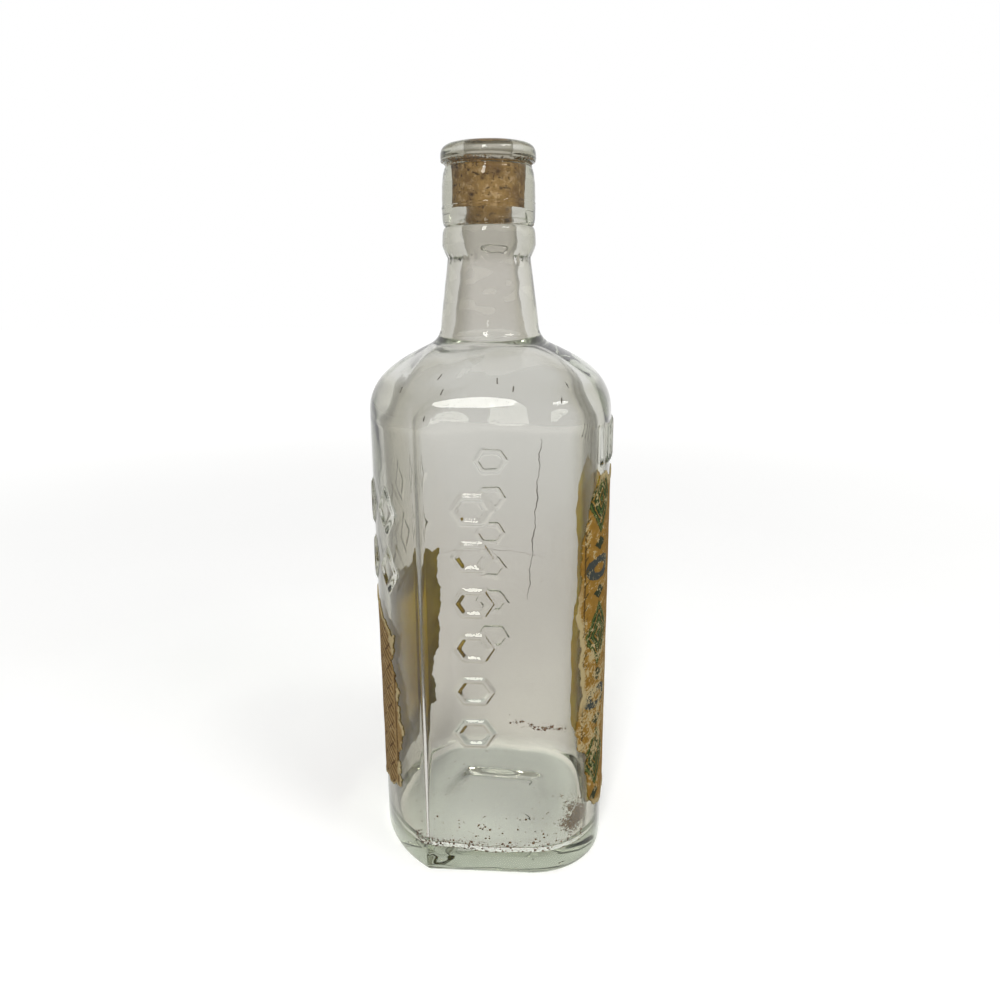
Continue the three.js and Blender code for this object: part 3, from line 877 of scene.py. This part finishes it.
# Ochre print: a band of nested diamonds, oval rings and small spots on each side of a tall oval
def front_print():
    finish = new_finish("front_label_print")
    place, along, up = sheet_place(finish)
    fibre = finish.noise(place, 420, 4, 0.7)
    patches = finish.noise(place, 22, 4, 0.6)
    mottle = finish.noise(place, 90, 3, 0.6)
    side = abs(along) - BAND_MIDDLE + (patches - 0.5) * 4
    rise = (up + (mottle - 0.5) * 1.5 + 6).wrapped(BAND_PITCH / 2)
    between = abs(rise) - BAND_PITCH / 2
    beside = abs(rise) - BAND_PITCH * 0.32
    nested = abs(side) / 8.5 + abs(rise) / 12
    diamond = 1 - nested.step(0.93, 1.02)
    hatch = (nested * 15 + 1).sine()
    round_out = (side / 8.5).squared() + (between / 4.2).squared()
    ring = round_out.band(0.12, 0.2, 0.85, 1.0)
    spot = 1 - (abs(side) / 3.6 + abs(beside) / 2.6).step(0.85, 1.05)
    ticks = line((rise + side * 0.8).wrapped(2.1), 0.4) * abs(side).band(6.2, 7.0, 8.6, 9.2)
    oval = (along / PANEL_HALF).squared() + ((up - 80) / 36).squared()
    lattice = crossed(along, up, 2.2, 0.22) * (1 - oval.step(0.8, 0.84))
    frame_line = line(abs(along) - 35.0, 0.4).above(line(oval - 1, 0.07))
    ink = finish.layered(srgb(122, 90, 32), [
        (patches.step(0.3, 0.7), srgb(138, 104, 42)),
        (mottle.step(0.52, 0.75) * 0.6, srgb(106, 70, 26)),
        (diamond * hatch.step(-0.95, -0.8), srgb(34, 50, 20)),
        (diamond * hatch.step(0.7, 0.95), srgb(74, 86, 36)),
        (ring, srgb(54, 58, 54)),
        (spot, srgb(40, 46, 26)),
        (ticks, srgb(74, 60, 26)),
        ((1 - oval.step(0.9, 0.96)) * 0.4, srgb(186, 152, 88)),
        (lattice * 0.6, srgb(84, 92, 42)),
        (frame_line * 0.85, srgb(66, 50, 22)),
    ])
    handled = up.band(34, 46, 74, 92)
    rubbed = (fibre * 0.35 + mottle * 0.5 + patches * 0.5 + handled * 0.06).step(0.72, 0.78)
    torn = 1 - (finish.stored("torn_edge") + (fibre - 0.5) * 3.2 + (mottle - 0.5) * 6).step(1.2, 2.2)
    torn = torn * along.step(-31, -26).above(up.band(56, 66, 96, 108))
    bare = finish.over(fibre, srgb(142, 126, 86), srgb(180, 164, 124))
    grime = finish.noise(place, 46, 5, 0.7).step(0.58, 0.76) * 0.5
    return worn_paper(finish, ink, fibre, rubbed, torn, bare, (grime, srgb(84, 66, 34)), 0.78)


# Tan print: upright bands of slanted strokes on each side of a plain waved field
def back_print():
    finish = new_finish("back_label_print")
    place, along, up = sheet_place(finish)
    fibre = finish.noise(place, 420, 4, 0.7)
    patches = finish.noise(place, 26, 4, 0.6)
    mottle = finish.noise(place, 110, 3, 0.6)
    side = abs(along) - 22.0 + (mottle - 0.5) * 1.6
    strokes = line((up + side * 0.45).wrapped(1.25), 0.42) * (1 - abs(side).step(7.4, 8.0))
    cross = line((up - side * 0.9).wrapped(3.75), 0.5) * (1 - abs(abs(side) - 4).step(2.2, 2.6))
    loops = (strokes.above(cross) * fibre.step(0.28, 0.4)).above(line(abs(along) - 31.0, 0.2))
    wave = (along * (FULL_TURN / 9.0)).sine() * 1.3
    field = crossed(up, wave, 2.4, 0.2) * (1 - abs(along).step(11.6, 12.0))
    frame_line = line(abs(along) - 31.6, 0.3).above(line(abs(along) - 12.8, 0.3))
    ink = finish.layered(srgb(128, 104, 64), [
        (patches.step(0.3, 0.7), srgb(148, 122, 80)),
        (mottle.step(0.5, 0.72) * 0.5, srgb(108, 80, 44)),
        (field * 0.6, srgb(104, 74, 44)),
        (loops.above(frame_line) * 0.85, srgb(70, 48, 26)),
    ])
    rubbed = (fibre * 0.4 + mottle * 0.6 + patches * 0.4).step(0.78, 0.84)
    torn = 1 - (finish.stored("torn_edge") + (fibre - 0.5) * 3.0 + (mottle - 0.5) * 3).step(0.2, 1.1)
    bare = finish.over(fibre, srgb(150, 132, 96), srgb(182, 166, 126))
    grime = finish.noise(place, 46, 5, 0.7).step(0.56, 0.74) * 0.55
    return worn_paper(finish, ink, fibre, rubbed, torn, bare, (grime, srgb(84, 64, 38)), 0.8)


# Pasted side of a label, which shows through the glass; its yellowed glue colours are brightened as painted
# light for the light that soaks through the paper, and are paler away from the torn edges
def paste_side(name, dark, pale, middle):
    finish = new_finish(name)
    place = finish.place()
    fibre = finish.noise(place, 1600, 3, 0.7)
    blots = finish.noise(finish.stretched(place, (1, 1, 0.6)), 150, 4, 0.6, 0.4)
    colour = finish.layered(dark, [
        (blots.step(0.32, 0.68), pale),
        (finish.stored("torn_edge").step(8, 15) * (blots * 0.6 + 0.5), middle),
        (fibre * 0.25, srgb(168, 142, 84)),
    ])
    return finish.principled(colour, 0.8 + fibre * 0.15, finish.bump(fibre, 0.3, 0.0002), PAPER_SCATTER)


def dried_residue():
    finish = new_finish("dried_residue")
    crumbs = finish.noise(finish.place(), 1900, 3, 0.7)
    colour = finish.over(crumbs.step(0.35, 0.7), srgb(66, 42, 26), srgb(128, 92, 60))
    return finish.principled(colour, 0.75 + crumbs * 0.2, finish.bump(crumbs, 0.6, 0.0003))


# Film of dried liquid, thickest in its middle; under the lip it also stands in as painted shade
def dried_film_and_shade():
    finish = new_finish("dried_film_and_shade")
    place = finish.place()
    specks = finish.noise(place, 1300, 4, 0.75)
    clouds = finish.noise(place, 260, 3, 0.6)
    thick = finish.stored("film_thickness")
    cover = (thick * 0.8 + (specks - 0.5) * 2.6 + (clouds - 0.5) * 1.6).step(0.40, 0.62) * 0.9
    colour = finish.over(specks.step(0.35, 0.65), srgb(54, 38, 18), srgb(122, 94, 56))
    normal = finish.bump(specks, 0.5, 0.0002)
    return finish.principled(colour, 0.7 + specks * 0.25, normal, {"Alpha": cover})


def scratch_grey():
    finish = new_finish("scratch_grey")
    breaks = finish.noise(finish.place(), 700, 2, 0.6)
    colour = finish.over(breaks, srgb(44, 41, 34), srgb(118, 112, 100))
    return finish.principled(colour, 0.5 + breaks * 0.3, finish.bump(breaks, 0.3, 0.0001))


# Glass
glass_points, glass_faces, glass_normals = glass_skin()
glass = new_piece(
    "glass", glass_points, glass_faces, "bottle", "bottle_glass", [clear_glass()], "glass_bottle")
glass.data.normals_split_custom_set_from_vertices(glass_normals.tolist())

# Cork
CORK_TOP = 234.0
CORK_BOTTOM = 216.5
CORK_PRESS = 0.05
CORK_BEVEL = 0.9
CORK_CROWN_RADIUS = 6.4
CORK_FOOT_RADIUS = 7.9
CORK_FOOT_ROUNDING = 1.4
CORK_END_RADII = np.linspace(0.4, 6.0, 16)
CORK_MIDDLE = 227.0
CORK_HELD = 5.6
CORK_COLUMNS = 120


def cork_profile():
    pressed = BORE_RADIUS + CORK_PRESS
    crown = (CORK_CROWN_RADIUS, CORK_TOP)
    side = joined(crown, [
        ([(7.6, CORK_TOP), (pressed, CORK_TOP - CORK_BEVEL)], 8),
        ([(pressed, BORE_BOTTOM + BORE_EASE)], 25),
        ([(8.0, BORE_BOTTOM - 1.2), (CORK_FOOT_RADIUS, CORK_BOTTOM + CORK_FOOT_ROUNDING)], 10),
        ([(7.8, CORK_BOTTOM), (6.6, CORK_BOTTOM)], 8),
    ])
    top = [(radius, CORK_TOP) for radius in CORK_END_RADII]
    bottom = [(radius, CORK_BOTTOM) for radius in CORK_END_RADII[::-1]]
    return np.array([*top, crown, *side, *bottom])


def cork_skin():
    profile = cork_profile()
    angles = np.linspace(-math.pi, math.pi, CORK_COLUMNS, endpoint=False)
    rings = polar(angles[None, :], profile[:, :1], profile[:, 1:])
    free = np.clip(np.abs(profile[:, 1] - CORK_MIDDLE) - CORK_HELD, 0, 1)[:, None]
    pits = ragged(rings[..., 0] * 1.3 + rings[..., 2], 3, [(2.1, 0.10), (0.9, 0.05)])
    pits = pits * ragged(rings[..., 1] * 1.7 - rings[..., 2] * 0.6, 4, [(2.7, 0.9), (1.1, 0.5)])
    inward = np.array([0.4, 0.4, 1.0]) * np.sign(rings - [0, 0, CORK_MIDDLE])
    rings = rings - (pits * free)[..., None] * inward
    ids = np.arange(rings.shape[0] * CORK_COLUMNS).reshape(-1, CORK_COLUMNS) + 2
    faces = [(0, a, b) for a, b in zip(ids[0], np.roll(ids[0], -1))]
    for upper, lower in zip(ids, ids[1:]):
        faces += ring_faces(lower, upper)
    faces += [(1, b, a) for a, b in zip(ids[-1], np.roll(ids[-1], -1))]
    ends = np.array([[0, 0, CORK_TOP], [0, 0, CORK_BOTTOM]])
    return np.concatenate([ends, rings.reshape(-1, 3)]), faces


new_piece("cork_stopper", *cork_skin(), "cork", "cork", [aged_cork()], "cork")

# Labels: torn outlines in millimetres along the sheet and above the foot
FRONT_HALF = float(arc_of(math.radians(46)))
BACK_HALF = float(ARC_LENGTHS[-1] - arc_of(math.radians(132)))


# Torn edge: where it runs, its steps along the sheet as (start, end, how far), and the depth of its tears
def torn_line(level, steps, seed, depth=1.0):
    def edge(place):
        found = level + depth * ragged(place, seed, TEAR)
        for start, end, far in steps:
            found = found + far * smooth(start, end, place)
        return found
    return edge


# Front paste colours: yellowed glue, made bright as painted light
front_paste = paste_side("front_label_paste", srgb(226, 198, 80), srgb(250, 228, 120), srgb(244, 218, 106))
paper_sheet(
    "front_label_paper", "front_label", "front_paper", 0,
    torn_line(-FRONT_HALF - 1.6, [(42, 34, 5.5), (128, 137, 3)], 11, 0.6),
    torn_line(FRONT_HALF - 4, [(60, 100, -2)], 12, 0.5),
    torn_line(20, [(-24, -32, 5)], 13),
    torn_line(138, [(-26, -36, -10), (10, 30, -14)], 14),
    [front_paste, front_print()])

# Back paste colours: yellowed glue, made bright as painted light
back_paste = paste_side("back_label_paste", srgb(136, 122, 42), srgb(170, 154, 68), srgb(250, 222, 74))
paper_sheet(
    "back_label_paper", "back_label", "back_paper", math.pi,
    torn_line(-BACK_HALF - 4.5, [(60, 30, 3)], 21, 0.6),
    torn_line(BACK_HALF - 1.5, [(40, 80, -1.5)], 22),
    torn_line(20, [(-10, 30, 6), (-24, -34, 7)], 23),
    torn_line(94, [(-12, -32, 4), (5, 30, -7)], 24),
    [back_paste, back_print()])

# Age marks in and on the glass
HEEL_CRUMBS = 420
FLOOR_CRUMBS = 60
LOW_WALL_CRUMBS = 200
STAIN_CRUMBS = 80
CORNER_CRUMBS = 30
WALL_CRUMBS = 110
CRUMB_FLATNESS = 0.35
BLOB_RINGS = 5
BLOB_COLUMNS = 8


def age_mark(name, points, faces, finish):
    return new_piece(name, points, faces, "bottle", "bottle_glass", [finish])


# Flattened crumb that sits on a surface
def crumb(place, out, size, flatness, rng):
    turn = Vector(out).normalized().to_track_quat("Z", "Y").to_matrix()
    points = [(0, 0, size * flatness)]
    for ring in range(1, BLOB_RINGS):
        tilt = math.pi * ring / BLOB_RINGS
        rise = size * flatness * math.cos(tilt)
        for column in range(BLOB_COLUMNS):
            around = FULL_TURN * column / BLOB_COLUMNS
            reach = size * math.sin(tilt) * rng.uniform(0.7, 1.3)
            points.append((reach * math.cos(around), reach * math.sin(around), rise))
    points.append((0, 0, -size * flatness))
    return [tuple(turn @ Vector(p) + Vector(place)) for p in points]


def crumb_faces(start):
    last = start + 1 + (BLOB_RINGS - 1) * BLOB_COLUMNS
    faces = []
    for column in range(BLOB_COLUMNS):
        following = (column + 1) % BLOB_COLUMNS
        ring_id = [start + 1 + ring * BLOB_COLUMNS for ring in range(BLOB_RINGS - 1)]
        faces.append((start, ring_id[0] + column, ring_id[0] + following))
        for a, b in zip(ring_id, ring_id[1:]):
            faces.append((a + column, b + column, b + following, a + following))
        faces.append((last, ring_id[-1] + following, ring_id[-1] + column))
    return faces


def crumbs_piece(name, places, seed, finish):
    rng = np.random.default_rng(seed)
    points, faces = [], []
    for place, out, size, flatness in places:
        faces += crumb_faces(len(points))
        points += crumb(place, out, size, flatness, rng)
    age_mark(name, points, faces, finish)


# Size of a crumb; most are near the least
def crumb_size(rng, least, spread):
    return least + spread * rng.uniform(0, 1) ** 3


# Place and level direction on the inner wall
def on_inner_wall(angle, height):
    place = inside(np.array(angle), (height, WALL, 1, 0))
    return place, -outline_normal(np.array(angle))


def floor_crumbs():
    rng = np.random.default_rng(5)
    found = []
    for _ in range(HEEL_CRUMBS):
        angle = math.radians(-126 + 86 * rng.uniform(0, 1) ** 1.5)
        turn = rng.uniform(0.0, 1.4)
        place = inside(np.array(angle), heel_level(BASE, WALL, INNER_HEEL, turn))
        out = (-math.sin(angle) * math.cos(turn), math.cos(angle) * math.cos(turn), math.sin(turn))
        found.append((place, out, crumb_size(rng, 0.1, 0.45), CRUMB_FLATNESS))
    for _ in range(FLOOR_CRUMBS):
        angle = math.radians(rng.uniform(0, 360))
        level = (BASE, WALL + INNER_HEEL, math.sqrt(rng.uniform(0.1, 1)), 0)
        found.append((inside(np.array(angle), level), (0, 0, 1), rng.uniform(0.1, 0.35), CRUMB_FLATNESS))
    return found


# Broken line of stain on the near side's inner wall
STAIN_ANGLE = -61
STAIN_HEIGHT = 56.2
STAIN_REACH = 12.5
STAIN_SLOPE = -3.0


def wall_crumbs():
    rng = np.random.default_rng(8)
    found = []
    for _ in range(LOW_WALL_CRUMBS):
        place, out = on_inner_wall(math.radians(rng.uniform(-126, -52)), 11 + 12 * rng.uniform(0, 1) ** 2)
        found.append((place, out, crumb_size(rng, 0.07, 0.36), CRUMB_FLATNESS))
    for _ in range(STAIN_CRUMBS):
        share = np.clip(rng.normal(0, 0.42), -1, 1)
        angle = angle_of(arc_of(math.radians(STAIN_ANGLE)) + share * STAIN_REACH)
        height = STAIN_HEIGHT + share * STAIN_SLOPE + 0.7 * math.sin(8 * share) + rng.normal(0, 0.35)
        place, out = on_inner_wall(angle, height)
        found.append((place, out, crumb_size(rng, 0.1, 0.4), CRUMB_FLATNESS))
    for _ in range(CORNER_CRUMBS):
        place, out = on_inner_wall(math.radians(-50 + rng.normal(0, 4)), 19 + rng.normal(0, 4))
        found.append((place, out, rng.uniform(0.08, 0.28), 0.3))
    for _ in range(WALL_CRUMBS):
        place, out = on_inner_wall(math.radians(rng.uniform(-180, 180)), 16 + 96 * rng.uniform(0, 1) ** 1.6)
        found.append((place, out, rng.uniform(0.05, 0.18), 0.4))
    return found


# Short dark flecks on the outside of the shoulder: angle from the front in degrees, and height
SHOULDER_FLECKS = [
    (-112.0, 170.5), (-107.5, 166.7), (-82.2, 169.7), (-75.2, 167.5), (-51.0, 168.1),
    (-56.5, 164.2), (-112.8, 159.1), (-128.2, 166.7),
]


# Share of the way from the neck to the body's outline, at a height on the shoulder
def shoulder_share(height):
    reach, heights = shoulder_curve(
        FRONT_DEPTH, SHOULDER_TOP_RADIUS, BODY_TOP, SHOULDER_LIFT, SHOULDER_RUN, 60).T
    return (np.interp(height, heights, reach) - SHOULDER_TOP_RADIUS) / (FRONT_DEPTH - SHOULDER_TOP_RADIUS)


def shoulder_flecks():
    rng = np.random.default_rng(14)
    found = []
    for degrees, height in SHOULDER_FLECKS:
        lean = rng.uniform(-0.5, 0.5)
        for step in np.linspace(-0.6, 0.6, 5):
            angle = np.array(math.radians(degrees + lean * step))
            level = (height + step, 0, shoulder_share(height + step), SHOULDER_TOP_RADIUS)
            out = (math.sin(angle), -math.cos(angle), 0.6)
            found.append((outside(angle, level), out, rng.uniform(0.18, 0.3), 0.3))
    return found


residue = dried_residue()
crumbs_piece("floor_residue", floor_crumbs(), 31, residue)
crumbs_piece("wall_residue", wall_crumbs(), 32, residue)

film = dried_film_and_shade()
FILM_STEPS = 36
FILM_LIFT = 0.05
RING_COLUMNS = 121
RING_ROWS = 9


# Film over a grid of points, with its thickness at each
def film_piece(name, points, thickness):
    piece = age_mark(name, points.reshape(-1, 3), grid_faces(*thickness.shape), film)
    store(piece, "film_thickness", thickness)


# Patch on the inner wall round an angle and a height, with its reach along the wall and up it
def film_patch(name, degrees, height, reach, rise, slope, strength):
    u, v = np.meshgrid(np.linspace(-1, 1, FILM_STEPS), np.linspace(-1, 1, FILM_STEPS))
    angle = angle_of(arc_of(math.radians(degrees)) + u * reach)
    points = inside(angle, (height + v * rise + u * slope, WALL + FILM_LIFT, 1, 0))
    film_piece(name, points, strength * np.clip(1 - np.hypot(u, v), 0, 1))


film_patch("heel_stain", -45, 20.0, 8.5, 9.5, -1.5, 1.5)
film_patch("wall_stain", STAIN_ANGLE, STAIN_HEIGHT, STAIN_REACH, 1.9, STAIN_SLOPE, 0.6)


# Dark film round the neck between two heights; under the lip it is also painted shade
def dark_film_ring(name, low, high, strength):
    angle, v = np.meshgrid(np.linspace(-math.pi, math.pi, RING_COLUMNS), np.linspace(-1, 1, RING_ROWS))
    profile = neck_outside()
    heights = (low + high) / 2 + v * (high - low) / 2
    radius = np.interp(heights, profile[:, 1], profile[:, 0])
    radius = radius + seam(angle, heights) + tool_marks(angle, heights) + FILM_LIFT
    uneven = 0.75 + 0.25 * np.sin(3 * angle + 1)
    film_piece(name, polar(angle, radius, heights), strength * (1 - np.abs(v)) * uneven)


# Under the lip bead: grime, and painted shade in the undercut below the bead
dark_film_ring("lip_grime_and_shade", 232.7, 235.6, 1.15)
# Darker brown film band in the upper groove
dark_film_ring("groove_dark_band", 215.0, 216.2, 0.5)

scratch = scratch_grey()
crumbs_piece("shoulder_flecks", shoulder_flecks(), 33, scratch)
HAIR_STEPS = 90
HAIR_LIFT = 0.03


# Fine ribbon on the near side panel through points given as y and height
def hairline(name, path, width):
    knots = np.arange(len(path))
    arcs = [arc_of(-math.atan2(HALF_WIDTH, -y)) for y, _ in path]
    heights = [height for _, height in path]
    steps = np.linspace(0, len(path) - 1, HAIR_STEPS)
    arc = np.interp(steps, knots, arcs) + ragged(steps * 9, 41, [(9, 0.25), (3.1, 0.12)])
    height = np.interp(steps, knots, heights) + ragged(steps * 9, 42, [(7, 0.2)])
    along = np.stack([np.gradient(arc), np.gradient(height)], axis=1)
    along /= np.linalg.norm(along, axis=1, keepdims=True)
    taper = np.sin(np.pi * np.linspace(0.02, 0.98, HAIR_STEPS)) ** 0.3
    half = width / 2 * (0.55 + 0.45 * np.sin(steps * 2.1) ** 2) * taper
    edges = []
    for side, lift in ((-1, 0.0), (0, HAIR_LIFT), (1, 0.0), (0, -HAIR_LIFT)):
        angle = angle_of(arc - side * along[:, 1] * half)
        edges.append(polar(angle, outline_radius(angle, -lift), height + side * along[:, 0] * half))
    ids = np.arange(4 * HAIR_STEPS).reshape(4, HAIR_STEPS)
    faces = []
    for a, b in zip(ids, np.roll(ids, -1, axis=0)):
        faces += np.stack([a[:-1], b[:-1], b[1:], a[1:]], axis=1).tolist()
    faces += [tuple(ids[::-1, 0]), tuple(ids[:, -1])]
    age_mark(name, np.concatenate(edges), faces, scratch)


hairline("upright_scratch", [
    (-18.2, 153.5), (-17.6, 147), (-17.0, 137.7), (-16.4, 128.3), (-15.6, 120.4), (-14.8, 110.6),
    (-14.2, 102.4)], 0.36)
hairline("level_scratch", [
    (14, 117.0), (9, 118.2), (-3, 118.8), (-11, 118.2), (-16, 117.2), (-20, 116.2)], 0.1)

# Stage: pale floor and white surround
WHITE = (1, 1, 1, 1)
FLOOR_COLOUR = (0.82, 0.82, 0.81, 1.0)
FLOOR_MOTTLE = (0.8, 0.8, 0.79, 1.0)
FLOOR_GLOW_NEAR = 0.3
FLOOR_GLOW_FAR = 0.66
FLOOR_REACH = 4.0
FLOOR_DROP = 0.0002
AMBIENT = 0.5
SEEN_KINDS = ("Camera", "Glossy", "Transmission")


# 1 for what the eye sees, directly or in glass and gloss
def seen(finish):
    rays = [finish.node("ShaderNodeLightPath", output=f"Is {kind} Ray") for kind in SEEN_KINDS]
    return sum(rays[1:], rays[0]).below(1)


def pale_floor():
    finish = new_finish("pale_floor")
    place = finish.place()
    tone = finish.over(finish.noise(place, 9, 3), FLOOR_COLOUR, FLOOR_MOTTLE)
    matt = finish.node("ShaderNodeBsdfDiffuse", None, {"Color": tone})
    away = finish.node("ShaderNodeVectorMath", {"operation": "LENGTH"}, {0: place}, "Value").step(0.2, 1.5)
    strength = seen(finish) * (away * (FLOOR_GLOW_FAR - FLOOR_GLOW_NEAR) + FLOOR_GLOW_NEAR)
    glow = finish.node("ShaderNodeEmission", None, {"Color": WHITE, "Strength": strength})
    finish.surface(finish.node("ShaderNodeAddShader", None, {0: matt, 1: glow}))
    return finish.owner


floor_mesh = bpy.data.meshes.new("floor")
floor_corners = [(-1, -1), (1, -1), (1, 1), (-1, 1)]
floor_points = [(x * FLOOR_REACH, y * FLOOR_REACH, -FLOOR_DROP) for x, y in floor_corners]
floor_mesh.from_pydata(floor_points, [], [(0, 1, 2, 3)])
floor = linked("floor", floor_mesh)
floor_mesh.materials.append(pale_floor())

world = bpy.data.worlds.new("white_surround")
bpy.context.scene.world = world
sky = Finish(world)
surround = sky.node("ShaderNodeBackground", None, {
    "Color": WHITE, "Strength": seen(sky) * (1 - AMBIENT) + AMBIENT})
sky.surface(surround, "ShaderNodeOutputWorld")

LIGHT_AIM = Vector((0, 0, 0.13))


# Lamp towards an angle from the front and a height in degrees, at a distance in metres
def soft_light(name, azimuth, elevation, distance, width, height, power):
    lamp = bpy.data.lights.new(name, "AREA")
    lamp.shape = "ELLIPSE"
    lamp.size = width
    lamp.size_y = height
    lamp.energy = power
    holder = linked(name, lamp)
    a, e = math.radians(azimuth), math.radians(elevation)
    towards = Vector((math.sin(a) * math.cos(e), -math.cos(a) * math.cos(e), math.sin(e)))
    holder.location = towards * distance + LIGHT_AIM
    holder.rotation_mode = "QUATERNION"
    holder.rotation_quaternion = towards.to_track_quat("Z", "Y")


soft_light("window_light", -97, 39, 1.3, 0.20, 0.54, 8.0)
soft_light("side_light", -36, 40, 1.3, 0.50, 0.17, 5.0)

# Camera at the photograph's place
CAMERA_PLACE = Vector((-282.96, -22.24, 196.66)) * MM
CAMERA_AHEAD = Vector((0.96058, 0.07549, -0.26755))
CAMERA_RIGHT = Vector((0.07835, -0.99693, 0.0))
CAMERA_ROLL = math.radians(0.57)
camera_data = bpy.data.cameras.new("camera")
camera_data.sensor_width = 36
camera_data.lens = 29.884
camera_data.shift_x = 0.0082
camera_data.shift_y = 0.0175
camera_data.clip_start = 0.01
camera = linked("camera", camera_data)
ahead = CAMERA_AHEAD.normalized()
right = Matrix.Rotation(CAMERA_ROLL, 3, ahead) @ CAMERA_RIGHT.normalized()
upward = right.cross(ahead)
camera.matrix_world = Matrix((
    (right.x, upward.x, -ahead.x, CAMERA_PLACE.x),
    (right.y, upward.y, -ahead.y, CAMERA_PLACE.y),
    (right.z, upward.z, -ahead.z, CAMERA_PLACE.z),
    (0, 0, 0, 1)))
bpy.context.scene.camera = camera
bpy.context.scene.view_settings.view_transform = "Standard"
bpy.context.scene.cycles.max_bounces = 24
bpy.context.scene.cycles.transmission_bounces = 24
bpy.context.scene.cycles.glossy_bounces = 12
bpy.context.scene.cycles.transparent_max_bounces = 16
